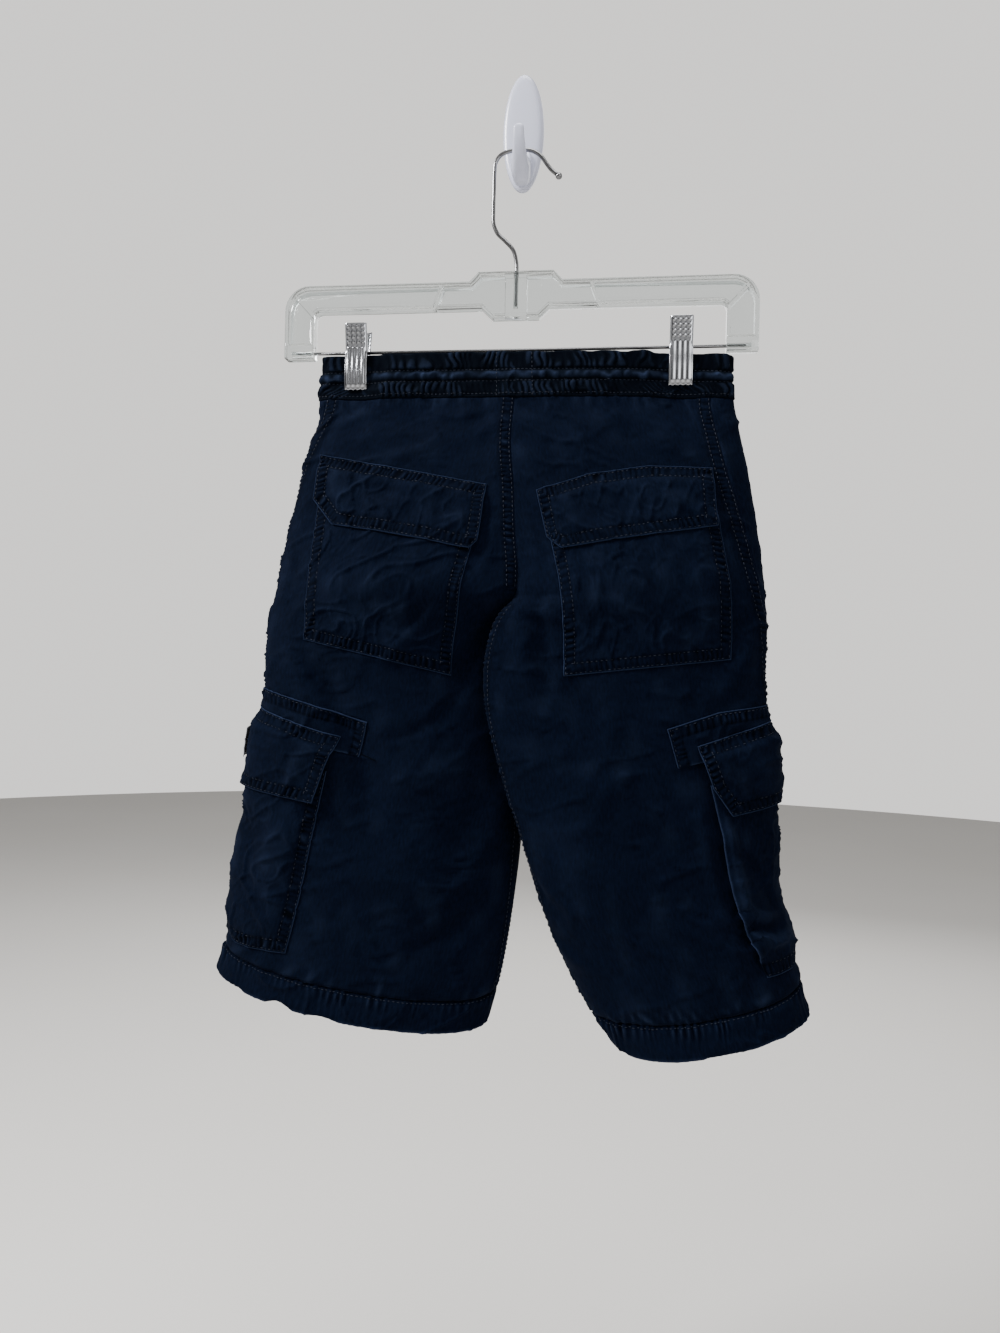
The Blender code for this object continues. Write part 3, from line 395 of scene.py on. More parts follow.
# ---- camera and stage ----------------------------------------------------------------------
@dataclass
class Studio:
    """A pale floor, soft light and the camera."""

    camera_at: tuple[float, float, float] = (0.0749, -0.6325, -0.3528)
    azimuth: float = 7.44
    pitch: float = 0.08
    roll: float = 1.34
    lens: float = 26.0
    floor_z: float = -0.95

    def build(self) -> None:
        """Make the camera, the floor, the lights and the sky."""
        self.camera()
        self.floor()
        self.area("key", (-1.25, -0.62, 0.7), (0, 0, -0.35), 0.55, 54.0)
        self.area("fill", (1.2, -1.5, 0.1), (0, 0, -0.35), 1.0, 9.0)
        self.area("top", (0.1, -0.35, 1.1), (0, -0.03, -0.3), 0.8, 16.0)
        self.area("back", (0.3, 1.4, 0.3), (0, 0, -0.35), 1.4, 14.0)
        world = bpy.data.worlds.new("pale studio")
        world.use_nodes = True
        tree = world.node_tree
        ray = add_node(tree, "ShaderNodeLightPath").outputs
        seen = add_node(
            tree, "ShaderNodeMath", {0: ray["Is Camera Ray"], 1: ray["Is Transmission Ray"]}, operation="MAXIMUM"
        ).outputs[0]
        way = add_node(tree, "ShaderNodeSeparateXYZ", {0: add_node(tree, "ShaderNodeNewGeometry").outputs["Incoming"]})
        stripe = add_node(tree, "ShaderNodeMath", {0: way.outputs["X"], 1: 7.0, 2: 0.8}, operation="MULTIPLY_ADD")
        stripe = math_node(tree, "SINE", {0: stripe.outputs[0]})
        lamp = math_node(tree, "MULTIPLY_ADD", {0: stripe, 1: 0.42, 2: 0.48})
        power = add_node(
            tree, "ShaderNodeMix", {0: seen, 2: lamp, 3: 1.42}, data_type="FLOAT"
        ).outputs[0]
        sky = tree.nodes["Background"]
        sky.inputs["Color"].default_value = linear("#E9E7E4")
        tree.links.new(power, sky.inputs["Strength"])
        bpy.context.scene.world = world

    def camera(self) -> None:
        """Make the camera and give it to the scene."""
        yaw, pitch, roll = (math.radians(w) for w in (self.azimuth, self.pitch, self.roll))
        data = bpy.data.cameras.new("camera")
        data.lens = self.lens
        data.sensor_width = 36.0
        eye = bpy.data.objects.new("camera", data)
        turn = Matrix.Rotation(yaw, 4, "Z") @ Matrix.Rotation(math.pi / 2 + pitch, 4, "X")
        eye.matrix_world = Matrix.Translation(self.camera_at) @ turn @ Matrix.Rotation(roll, 4, "Z")
        bpy.context.scene.collection.objects.link(eye)
        bpy.context.scene.camera = eye

    def floor(self) -> None:
        """Make the floor: a wide disc with a matt pale finish."""
        work = bmesh.new()
        bmesh.ops.create_circle(work, cap_ends=True, segments=96, radius=4.0)
        mesh = bpy.data.meshes.new("floor")
        work.to_mesh(mesh)
        work.free()
        mesh.transform(Matrix.Translation((0, 0, self.floor_z)))
        made, tree, shader = new_material("matt pale studio floor")
        place = add_node(tree, "ShaderNodeTexCoord").outputs["Object"]
        noise = add_node(tree, "ShaderNodeTexNoise", {"Vector": place, "Scale": 1.5}).outputs["Fac"]
        colour = add_node(
            tree, "ShaderNodeMix", {0: noise, 6: linear("#DCD9D5"), 7: linear("#E4E2DF")}, data_type="RGBA"
        ).outputs[2]
        tree.links.new(colour, shader.inputs["Base Color"])
        shader.inputs["Roughness"].default_value = 0.9
        mesh.materials.append(made)
        floor = bpy.data.objects.new("floor", mesh)
        bpy.context.scene.collection.objects.link(floor)

    def area(self, name: str, at: Sequence[float], to: Sequence[float], size: float, power: float) -> None:
        """Add a soft light.

        Args:
            name: the light's name.
            at: where it stands, in metres.
            to: the point it faces.
            size: the side of its square, in metres.
            power: its power in watts.
        """
        data = bpy.data.lights.new(name, "AREA")
        data.shape = "SQUARE"
        data.size = size
        data.energy = power
        light = bpy.data.objects.new(name, data)
        light.visible_transmission = name == "key"
        way = Vector(to) - Vector(at)
        light.matrix_world = Matrix.Translation(at) @ way.to_track_quat("-Z", "Y").to_matrix().to_4x4()
        bpy.context.scene.collection.objects.link(light)


# ---- the cloth's surface -------------------------------------------------------------------
class Edge(NamedTuple):
    """Where a section meets a seam. turn is the way the cloth leaves it: 0 is straight out to
    the side and 90 straight out of its layer."""

    level: float
    x: float
    y: float
    z: float
    turn: float
    reach: float
    drop: float


class Side(NamedTuple):
    """The side fold, with the place of the side seam round the leg from it."""

    level: float
    x: float
    y: float
    z: float
    back_reach: float
    front_reach: float
    seam: float
    drop: float


WAISTBAND_TOP = -31.0
WAIST_SEAM = 0.0
GATHER_ROWS = (-18.4, -11.0)  # levels of the two stitched rows that gather the band
BAND_FOOT_ROW = -1.6  # level of the stitch row along its foot
BAND_RUN_IN = 11.5  # distance of each upright stitch row from the side fold
HOOK_HALF_WIDTH, HOOK_HALF_HEIGHT = 13.5, 38.5
CROTCH = 126.0
HEM_SEAM = 354.0
HEM_EDGE = 372.0
FRONT_PLANE = -1.0
CROTCH_TURN = 85.0
PATH_SAMPLES = 40

CENTRE_BACK = [
    Edge(WAISTBAND_TOP, 0, -24.5, -151, 0, 60, 0),
    Edge(WAIST_SEAM, 1, -26, -180, 0, 60, 0),
    Edge(30, 0, -31, -210, 0, 60, 0),
    Edge(60, 3, -35, -240, 0, 60, 0),
    Edge(90, 5, -39, -270, 8, 55, 0),
    Edge(112, 7, -41, -293, 25, 42, 0),
    Edge(CROTCH, 6, -40, -308, 55, 26, 0),
]
CENTRE_FRONT = [
    Edge(WAISTBAND_TOP, 4, -11.5, -151, 0, 60, 0),
    Edge(WAIST_SEAM, 4, -10, -180, 0, 60, 0),
    Edge(50, 4, -8, -230, 0, 60, 0),
    Edge(86, 4, -9, -266, 0, 50, 0),
    Edge(108, 5, -18, -292, 40, 28, 0),
    Edge(CROTCH, 6, -40, -308, CROTCH_TURN, 36, 0),
]
LEFT_INSEAM_BACK = [
    Edge(CROTCH, 6, -40, -308, 55, 26, 0),
    Edge(140, 4, -28, -320, 50, 34, 0),
    Edge(160, 4, -21, -340, 50, 38, 0),
    Edge(200, 7, -19, -382, 50, 42, 0),
    Edge(260, 11, -20, -449, 60, 40, 2),
    Edge(310, 7, -23, -505, 80, 38, 6),
    Edge(350, 0, -26, -549, 88, 38, 14),
    Edge(HEM_EDGE, -6, -27, -573, 90, 38, 18),
]
RIGHT_INSEAM_BACK = [
    Edge(CROTCH, 6, -40, -308, 55, 26, 0),
    Edge(140, -4, -41, -321, 110, 20, 0),
    Edge(160, -10, -40, -342, 128, 22, 0),
    Edge(185, -11, -39, -368, 128, 24, 0),
    Edge(215, -5, -37, -400, 118, 26, 0),
    Edge(265, 12, -33, -455, 102, 32, 2),
    Edge(310, 29, -29, -507, 92, 38, 6),
    Edge(350, 54, -27, -556, 90, 38, 14),
    Edge(HEM_EDGE, 72, -27, -581, 90, 38, 18),
]
LEFT_SIDE = [
    Side(WAISTBAND_TOP, -128, -18, -150.5, 9, 9, 0, 0),
    Side(WAIST_SEAM, -129.5, -19, -179.6, 10, 10, -8, 0),
    Side(12, -129, -19.5, -191, 12, 10, -6, 0),
    Side(27, -133, -20, -206.5, 14, 10, -3, 0),
    Side(66, -141, -22, -246, 18, 13, 3, 0),
    Side(112, -150, -24, -292, 22, 15, 6, 0),
    Side(145, -157, -25, -325, 27, 17, 6, 0),
    Side(171, -159, -25, -351, 34, 18, 6, 0),
    Side(200, -159, -25, -380, 34, 18, 6, 0),
    Side(254, -166, -26, -434, 34, 18, 6, 2),
    Side(317, -174, -27, -497, 34, 18, 6, 6),
    Side(350, -180, -27, -530, 34, 18, 6, 14),
    Side(HEM_EDGE, -186, -27, -551, 34, 18, 6, 16),
]
RIGHT_SIDE = [
    Side(WAISTBAND_TOP, 136, -18, -154.5, 9, 9, 0, 0),
    Side(WAIST_SEAM, 138, -19, -181.6, 10, 10, -16, 0),
    Side(27, 143, -20, -208.5, 14, 10, -18, 0),
    Side(66, 150, -22, -246, 18, 13, -16, 0),
    Side(112, 157, -24, -292, 22, 15, -10, 0),
    Side(145, 160, -25, -325, 27, 17, -3, 0),
    Side(176, 159, -25, -357, 31, 18, 2, 0),
    Side(200, 161, -25, -381, 34, 18, 6, 0),
    Side(254, 165, -26, -433, 34, 18, 6, 2),
    Side(310, 169, -27, -491, 34, 18, 6, 6),
    Side(345, 182, -27, -527, 34, 18, 6, 12),
    Side(HEM_EDGE, 190, -27, -555, 34, 18, 6, 14),
]


def facing(rows: list[Edge]) -> list[Edge]:
    """Work out the front's rows for an inseam, which carry on smoothly from the back's."""
    made = []
    for row in rows:
        turn = CROTCH_TURN if row.level == CROTCH else 180 - row.turn
        reach = (FRONT_PLANE - row.y) / math.sin(math.radians(turn))
        made.append(row._replace(turn=turn, reach=reach))
    return made


def between(rows: Sequence[Sequence[float]], at: Array) -> Array:
    """Read a table's columns on a smooth curve through its rows.

    Args:
        rows: the table, whose first column is what it is read by.
        at: the places to read, inside the table's range.

    Returns:
        The other columns, one row for each place.
    """
    table = np.array(rows, float)
    knots, values = table[:, 0], table[:, 1:]
    slopes = np.gradient(values, knots, axis=0)
    at = np.clip(at, knots[0], knots[-1])
    row = np.clip(np.searchsorted(knots, at, side="right") - 1, 0, len(knots) - 2)
    span = (knots[row + 1] - knots[row])[:, None]
    t = (at - knots[row])[:, None] / span
    return (
        values[row] * (1 + 2 * t) * (1 - t) ** 2
        + values[row + 1] * t * t * (3 - 2 * t)
        + slopes[row] * span * t * (1 - t) ** 2
        + slopes[row + 1] * span * t * t * (t - 1)
    )


def curve_through(points: Sequence[Sequence[float]], steps: int) -> Array:
    """Points on a smooth curve through given points."""
    places = np.array(points, float)
    at = np.concatenate([[0], np.cumsum(np.linalg.norm(np.diff(places, axis=0), axis=1))])
    return between([(t, *place) for t, place in zip(at, places)], np.linspace(0, at[-1], steps))


def cubic(control: Array, t: Array) -> Array:
    """Points of cubic curves, one for each row of control points."""
    t = t[..., None]
    s = 1 - t
    p = control[:, None]
    return s**3 * p[:, :, 0] + 3 * s * s * t * p[:, :, 1] + 3 * s * t * t * p[:, :, 2] + t**3 * p[:, :, 3]


def off_line(places: Array, line: Array) -> tuple[Array, Array]:
    """Measure places on the cloth from a line of points on it.

    Args:
        places: an (n, 2) array of cloth places.
        line: an (m, 2) array of points in order.

    Returns:
        The signed distance to the line, and how far along the line the nearest point is.
    """
    best = np.full(len(places), np.inf)
    signed, along = np.zeros(len(places)), np.zeros(len(places))
    start = 0.0
    for a, b in zip(line[:-1], line[1:]):
        way = b - a
        length = math.hypot(*way)
        off = places - a
        s = np.clip(off @ way / max(length, 1e-9) ** 2, 0, 1)
        gap = off - s[:, None] * way
        distance = np.hypot(gap[:, 0], gap[:, 1])
        nearer = distance < best
        side = np.sign(way[0] * off[:, 1] - way[1] * off[:, 0])
        best = np.where(nearer, distance, best)
        signed = np.where(nearer, distance * np.where(side == 0, 1, side), signed)
        along = np.where(nearer, start + s * length, along)
        start += length
    return signed, along


@dataclass(frozen=True)
class Crease:
    """A soft ridge or trough, placed one by one. Lean makes its one side steeper than the other."""

    path: tuple[Place, ...]
    width: float
    depth: float
    lean: float = 0.0
    fade: float = 0.3

    def height(self, places: Array) -> Array:
        """How far the crease lifts each place off the smooth surface."""
        line = curve_through(self.path, 5 * len(self.path)) if len(self.path) > 2 else np.array(self.path, float)
        signed, along = off_line(places, line)
        length = np.linalg.norm(np.diff(line, axis=0), axis=1).sum()
        share = along / length
        run = ramp(share, self.fade) * ramp(1 - share, self.fade) if self.fade else 1.0
        width = self.width * np.where(signed > 0, 1 + self.lean, 1 - self.lean)
        return self.depth * run * groove(signed, width)


def clip_pinch(a: float) -> list[Crease]:
    """The dents that a clip's jaws press in both layers of the waistband."""
    return [
        Crease(((side * a, WAISTBAND_TOP), (side * a, -2)), 17, -3.3, fade=0) for side in (-1, 1)
    ]


LEFT_CREASES = clip_pinch(28) + [
    Crease(((-38, 158), (-70, 210), (-102, 268)), 12, -6.5, 0.35, 0.28),
    Crease(((-52, 150), (-84, 204), (-118, 262)), 14, 2.6, 0.0, 0.3),
    Crease(((-166, 132), (-157, 146), (-146, 168), (-138, 186)), 7, -3.6, -0.3, 0.25),
    Crease(((-150, 134), (-140, 156), (-130, 184)), 7, 1.8, 0.0, 0.3),
    Crease(((-128, 205), (-132, 330)), 26, 4.0),
    Crease(((-108, 196), (-116, 216), (-134, 238), (-150, 250)), 5, -1.3, 0.4),
    Crease(((-176, 216), (-160, 250), (-140, 292)), 12, -2.6, -0.2),
    Crease(((-60, 268), (-84, 318), (-92, 348)), 12, 1.4),
    Crease(((-24, 18), (-60, 14), (-96, 24)), 9, -1.0, 0.3),
    Crease(((-30, 6), (-44, 22), (-40, 36)), 5, 0.9),
    Crease(((-34, 186), (-58, 200), (-88, 206)), 3.4, 1.6, 0.4),
    Crease(((-122, 128), (-108, 152), (-86, 176)), 4.5, 1.8, 0.4),
    Crease(((-150, 168), (-128, 200), (-98, 222)), 4.0, -1.5, 0.3),
    Crease(((-172, 250), (-160, 286), (-134, 314)), 4.5, 1.5, 0.4),
    Crease(((-176, 300), (-150, 322), (-120, 336)), 4.0, -1.4, 0.3),
    Crease(((-70, 8), (-92, 14), (-118, 10)), 3.0, 0.9, 0.4),
    Crease(((-136, 70), (-143, 92), (-141, 118)), 3.2, 1.1, 0.4),
    Crease(((-100, 10), (-120, 26), (-126, 44)), 7, -0.9, 0.2),
]
RIGHT_CREASES = clip_pinch(35) + [
    Crease(((-147, 120), (-141, 155), (-136, 192)), 5.5, -3.6, 0.3, 0.25),
    Crease(((-156, 128), (-151, 160), (-147, 200)), 8, 2.0),
    Crease(((-120, 205), (-105, 330)), 30, 3.0),
    Crease(((-8, 150), (-24, 172), (-40, 198)), 7, 1.8, 0.3),
    Crease(((-4, 128), (-16, 150), (-24, 176)), 4, 1.4, -0.3),
    Crease(((-2, 176), (-22, 186), (-44, 196)), 5, -1.2, 0.2),
    Crease(((-130, 330), (-100, 344), (-60, 350)), 9, 1.3),
    Crease(((-60, 190), (-86, 236), (-96, 290)), 20, -1.4),
    Crease(((-40, 12), (-72, 26), (-100, 22)), 8, -0.9, 0.3),
    Crease(((-104, 34), (-88, 20), (-60, 12)), 5, 0.7),
    Crease(((-20, 20), (-14, 48), (-22, 78)), 3.4, 1.3, 0.4),
    Crease(((-148, 70), (-143, 98), (-145, 124)), 4.0, 1.3, 0.3),
    Crease(((-170, 176), (-150, 196), (-122, 204)), 4.0, 1.3, 0.4),
    Crease(((-176, 262), (-160, 290), (-132, 312)), 4.5, -1.5, 0.3),
    Crease(((-178, 298), (-156, 318), (-120, 334)), 4.0, 1.6, 0.4),
    Crease(((-92, 182), (-104, 214), (-100, 246)), 5.0, 1.1, 0.4),
    Crease(((-54, 246), (-48, 282), (-37, 328)), 2.4, 2.6, 0.3, 0.15),
    Crease(((-48, 304), (-38, 311), (-26, 308)), 2.0, 2.2, 0.2),
    Crease(((-47, 322), (-36, 327), (-22, 323)), 2.0, 2.5, 0.2),
    Crease(((-46, 313), (-36, 319), (-25, 316)), 1.8, -1.7),
    Crease(((-150, 134), (-134, 141), (-112, 150)), 2.8, 1.5, 0.4),
    Crease(((-154, 142), (-139, 157), (-122, 178)), 3.2, 1.6, 0.4),
    Crease(((-150, 152), (-143, 174), (-140, 198)), 3.0, -1.4, 0.3),
]


class Leg:
    """One leg and its half of the seat, as a surface addressed by cloth position.

    A place is (a, level): a is the distance round the leg from the side fold, negative over
    the back and positive over the front.
    """

    STEP = 0.8

    def __init__(
        self, outward: int, side: list[Side], inseam: list[Edge], creases: list[Crease], seed: int
    ) -> None:
        """Keep the tables and start the leg's own noise."""
        self.outward = outward
        self.side = side
        self.back_inseam = inseam
        self.front_inseam = facing(inseam)
        self.creases = creases
        self.ripple = Ripple(seed)

    def controls(self, level: Array) -> list[Array]:
        """Control points of the back's and the front's curves, from the side fold inwards."""
        side = between(self.side, level)
        above = (level <= CROTCH)[:, None]
        back = np.where(above, between(CENTRE_BACK, level), between(self.back_inseam, level))
        front = np.where(above, between(CENTRE_FRONT, level), between(self.front_inseam, level))
        nought = np.zeros(len(level))
        curves = []
        for edge, reach, to_wall in ((back, side[:, 3], -1), (front, side[:, 4], 1)):
            start, end = side[:, :3], edge[:, :3]
            drop = (side[:, 6], edge[:, 5]) if to_wall < 0 else (nought, nought)
            turn = np.radians(edge[:, 3])
            leave = start + np.stack([nought, to_wall * reach, -drop[0]], 1)
            way = np.stack([self.outward * np.cos(turn), to_wall * np.sin(turn), nought], 1)
            arrive = end + edge[:, 4:5] * way
            arrive[:, 2] -= drop[1]
            curves.append(np.stack([start, leave, arrive, end], 1))
        return curves

    def spot(self, places: Array) -> tuple[Array, Array]:
        """Find places on the smooth surface.

        Args:
            places: an (n, 2) array of cloth places.

        Returns:
            Their points, and how far the cloth reaches from the side fold on each one's side.
        """
        a, level = places[:, 0], places[:, 1]
        back, front = self.controls(level)
        control = np.where((a < 0)[:, None, None], back, front)
        t = np.linspace(0, 1, PATH_SAMPLES)
        path = cubic(control, np.broadcast_to(t, (len(a), PATH_SAMPLES)))
        steps = np.linalg.norm(np.diff(path, axis=1), axis=2)
        run = np.concatenate([np.zeros((len(a), 1)), np.cumsum(steps, axis=1)], axis=1)
        want = np.minimum(np.abs(a), run[:, -1])
        here = np.clip((run < want[:, None]).sum(1), 1, PATH_SAMPLES - 1)
        k = np.arange(len(a))
        part = (want - run[k, here - 1]) / (run[k, here] - run[k, here - 1])
        t = (here - 1 + part) / (PATH_SAMPLES - 1)
        return cubic(control, t[:, None])[:, 0], run[:, -1]

    def relief(self, places: Array, wrinkled: bool = True) -> Array:
        """How far creases and the cloth's own waviness lift each place.

        Args:
            places: an (n, 2) array of cloth places.
            wrinkled: whether small wrinkles are counted too.

        Returns:
            The lift of each place.
        """
        a, level = places.T
        total = 1.0 * self.ripple(a / 41, level / 52) + 0.50 * self.ripple(a / 17 + 9, level / 21)
        bend = 2.5 * self.ripple(a / 30 + 5, level / 30)
        fold = 1 - np.abs(self.ripple((a + 0.7 * level) / 26 + bend, (level - 0.5 * a) / 19 + 3)) * 3.2
        if wrinkled:
            total = total + 1.4 * np.clip(fold, 0, 1) ** 2.5 + 0.22 * self.ripple(a / 6.5 + 3, level / 8)
            fold = 1 - np.abs(self.ripple((a - 0.8 * level) / 15 + 2 * bend, (level + 0.6 * a) / 12 + 8)) * 3.0
            total = total + 0.45 * np.clip(fold, 0, 1) ** 2
        total = total * ramp(level - WAISTBAND_TOP, 30.0)
        for crease in self.creases:
            total = total + crease.height(places)
        return total

    def cloth(self, places: Array) -> tuple[Array, Array]:
        """Points and outward normals of the creased surface.

        Args:
            places: an (n, 2) array of cloth places, clear of the inner edges.

        Returns:
            The points, and the unit normals out of the leg.
        """
        point, reach = self.spot(places)
        h = self.STEP
        slopes, bends = [], []
        room = ramp(reach - np.abs(places[:, 0]), 12.0)
        lift = self.relief(places) * room
        for step in (np.array([h, 0]), np.array([0, h])):
            ahead, behind = places + step, places - step
            slopes.append((self.spot(ahead)[0] - self.spot(behind)[0]) / (2 * h))
            bends.append((self.relief(ahead, False) - self.relief(behind, False)) * room / (2 * h))
        normal = unit(np.cross(slopes[1], slopes[0]) * self.outward)
        raised = point + normal * lift[:, None]
        tilt = unit(normal - unit(slopes[0]) * bends[0][:, None] - unit(slopes[1]) * bends[1][:, None])
        return raised, tilt

    def seam_at(self, level: Array) -> Array:
        """Where the side seam lies, round the leg from the side fold."""
        return between(self.side, level)[:, 5]

    def reaches(self, level: Array) -> tuple[Array, Array]:
        """How far the back and the front reach from the side fold at some levels."""
        far = np.full(len(level), 999.0)
        return self.spot(np.stack([-far, level], 1))[1], self.spot(np.stack([far, level], 1))[1]


def grid_normals(points: Array, outward: int, joined: Array) -> Array:
    """Unit normals of rows and columns of points, smooth where a row's ends are sewn together."""
    along, down = np.gradient(points, axis=1), np.gradient(points, axis=0)
    around = points[:, 1] - points[:, -2]
    along[joined, 0] = along[joined, -1] = around[joined]
    normal = unit(np.cross(down, along) * outward)
    shared = unit(normal[:, 0] + normal[:, -1])
    normal[joined, 0] = normal[joined, -1] = shared[joined]
    return normal


# ---- making meshes -------------------------------------------------------------------------
def quad_mesh(name: str, points: Array, quads: Array) -> bpy.types.Mesh:
    """Make a mesh of four-sided faces.

    Args:
        name: the mesh's name.
        points: an (n, 3) array in millimetres.
        quads: an (m, 4) array of point numbers.

    Returns:
        The mesh, in metres.
    """
    mesh = bpy.data.meshes.new(name)
    mesh.vertices.add(len(points))
    mesh.vertices.foreach_set("co", (points * MM).astype(np.float32).ravel())
    mesh.loops.add(quads.size)
    mesh.loops.foreach_set("vertex_index", quads.astype(np.int32).ravel())
    mesh.polygons.add(len(quads))
    mesh.polygons.foreach_set("loop_start", np.arange(0, quads.size, 4, dtype=np.int32))
    mesh.update(calc_edges=True)
    mesh.shade_smooth()
    return mesh


def grid_quads(rows: int, columns: int, ring: bool) -> Array:
    """Faces of a closed shell between two grids that share a rim.

    Args:
        rows: rows of points in each grid.
        columns: columns of points.
        ring: whether the last column is sewn to the first.

    Returns:
        The faces, the outer grid's first.
    """
    index = np.arange(rows * columns).reshape(rows, columns)
    count = index.size
    after = np.roll(index, -1, axis=1)
    width = columns if ring else columns - 1
    outer = np.stack([index[:-1, :width], after[:-1, :width], after[1:, :width], index[1:, :width]], -1)
    outer = outer.reshape(-1, 4)
    edges = [
        np.stack([index[0, :width], after[0, :width]], 1),
        np.stack([after[-1, :width], index[-1, :width]], 1),
    ]
    if not ring:
        edges.append(np.stack([index[1:, 0], index[:-1, 0]], 1))
        edges.append(np.stack([index[:-1, -1], index[1:, -1]], 1))
    rim = np.concatenate(edges)
    walls = np.stack([rim[:, 1], rim[:, 0], rim[:, 0] + count, rim[:, 1] + count], 1)
    return np.concatenate([outer, outer[:, ::-1] + count, walls])


@dataclass
class Skin:
    """A piece of cloth as rows and columns: outer and inner points, cloth places, and wear with painted shade."""

    outer: Array
    inner: Array
    places: Array
    wear_and_shade: Array
    ring: bool = False

    def mesh(self, name: str, finish: bpy.types.Material) -> bpy.types.Object:
        """Make the closed shell as an object, with its wear and painted shade attribute and its cloth map."""
        rows, columns = self.outer.shape[:2]
        quads = grid_quads(rows, columns, self.ring)
        middle = (slice(rows // 3, rows // 3 + 2), slice(columns // 3, columns // 3 + 2))
        p, q = self.outer[middle], self.inner[middle]
        way = np.cross(p[0, 1] - p[0, 0], p[1, 0] - p[0, 0])
        if way @ (p[0, 0] - q[0, 0]) < 0:
            quads = quads[:, ::-1]
        points = np.concatenate([self.outer.reshape(-1, 3), self.inner.reshape(-1, 3)])
        mesh = quad_mesh(name, points, quads)
        # attribute of pale wear and painted shade, which the twill's colour follows
        worn = mesh.attributes.new("wear_and_shade", "FLOAT", "POINT")
        worn.data.foreach_set("value", np.tile(np.clip(self.wear_and_shade, -1, 1).ravel(), 2).astype(np.float32))
        flat = np.tile(self.places.reshape(-1, 2), (2, 1)) * MM
        corners = flat[quads]
        girth = np.ptp(flat[:, 0])
        behind = corners[:, :, 0] < corners[:, :, 0].max(1)[:, None] - girth / 2
        corners[:, :, 0] += np.where(behind & self.ring, girth, 0)
        cloth_map = mesh.uv_layers.new(name="cloth")
        cloth_map.uv.foreach_set("vector", corners.astype(np.float32).ravel())
        return add_piece(name, mesh, finish)


def add_piece(name: str, mesh: bpy.types.Mesh, finish: bpy.types.Material) -> bpy.types.Object:
    """Link a finished mesh as a piece that rides on the part's one body."""
    mesh.materials.clear()
    mesh.materials.append(finish)
    piece = bpy.data.objects.new(name, mesh)
    bpy.context.scene.collection.objects.link(piece)
    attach(piece, "root")
    LOG.info("%s: %d faces", name, len(mesh.polygons))
    return piece


def frozen(item: bpy.types.Object) -> bpy.types.Mesh:
    """Take an object's evaluated shape as a plain mesh, and remove the object."""
    graph = bpy.context.evaluated_depsgraph_get()
    mesh = bpy.data.meshes.new_from_object(item.evaluated_get(graph))
    bpy.data.objects.remove(item, do_unlink=True)
    return mesh


# ---- stitches ------------------------------------------------------------------------------
class StitchTree:
    """Geometry Nodes that lay short stitches along the edges of a mesh."""

    def __init__(self) -> None:
        """Build the tree."""
        tree = bpy.data.node_groups.new("stitches", "GeometryNodeTree")
        self.tree = tree
        face = tree.interface
        face.new_socket("Seams", in_out="INPUT", socket_type="NodeSocketGeometry")
        self.pitch = face.new_socket("Pitch", in_out="INPUT", socket_type="NodeSocketFloat").identifier
        self.length = face.new_socket("Stitch Length", in_out="INPUT", socket_type="NodeSocketFloat").identifier
        self.radius = face.new_socket("Thread Radius", in_out="INPUT", socket_type="NodeSocketFloat").identifier
        self.finish = face.new_socket("Finish", in_out="INPUT", socket_type="NodeSocketMaterial").identifier
        face.new_socket("Stitches", in_out="OUTPUT", socket_type="NodeSocketGeometry")
        given = add_node(tree, "NodeGroupInput").outputs
        curve = add_node(tree, "GeometryNodeMeshToCurve", {"Mesh": given["Seams"]}).outputs[0]
        dots = add_node(
            tree, "GeometryNodeResampleCurve", {"Curve": curve, "Length": given["Pitch"]}, mode="LENGTH"
        ).outputs[0]
        tangent = add_node(tree, "GeometryNodeInputTangent").outputs[0]
        turn = add_node(tree, "FunctionNodeAlignRotationToVector", {"Vector": tangent}, axis="X").outputs[0]
        bead = add_node(
            tree, "GeometryNodeMeshUVSphere", {"Segments": 5, "Rings": 3, "Radius": 1.0}
        ).outputs[0]
        size = add_node(
            tree, "ShaderNodeCombineXYZ",
            {"X": given["Stitch Length"], "Y": given["Thread Radius"], "Z": given["Thread Radius"]},
        ).outputs[0]
        laid = add_node(
            tree, "GeometryNodeInstanceOnPoints",
            {"Points": dots, "Instance": bead, "Rotation": turn, "Scale": size},
        ).outputs[0]
        real = add_node(tree, "GeometryNodeRealizeInstances", {"Geometry": laid}).outputs[0]
        smooth = add_node(tree, "GeometryNodeSetShadeSmooth", {"Geometry": real}).outputs[0]
        done = add_node(
            tree, "GeometryNodeSetMaterial", {"Geometry": smooth, "Material": given["Finish"]}
        ).outputs[0]
        add_node(tree, "NodeGroupOutput", {0: done})

    def sew(
        self, name: str, lines: list[Array], thread: bpy.types.Material, slot: Slot,
        pitch: float = 2.9, stitch: float = 2.1, radius: float = 0.26,
    ) -> bpy.types.Object:
        """Lay stitches along lines of points.

        Args:
            name: the piece's name.
            lines: arrays of points on the cloth, in millimetres.
            thread: the thread's material.
            slot: not used.
            pitch: distance from stitch to stitch, in millimetres.
            stitch: length of the thread that shows between two holes, in millimetres.
            radius: the thread's radius, in millimetres.

        Returns:
            The stitches as one plain mesh.
        """
        points = np.concatenate(lines) * MM
        edges, start = [], 0
        for line in lines:
            edges += [(start + k, start + k + 1) for k in range(len(line) - 1)]
            start += len(line)
        guide = bpy.data.meshes.new(name)
        guide.from_pydata(points.tolist(), edges, [])
        item = bpy.data.objects.new(name, guide)
        bpy.context.scene.collection.objects.link(item)
        step = item.modifiers.new("stitches", "NODES")
        step.node_group = self.tree
        step[self.pitch] = pitch * MM
        step[self.length] = stitch / 2 * MM
        step[self.radius] = radius * MM
        step[self.finish] = thread
        piece = add_piece(name, frozen(item), thread)
        return piece


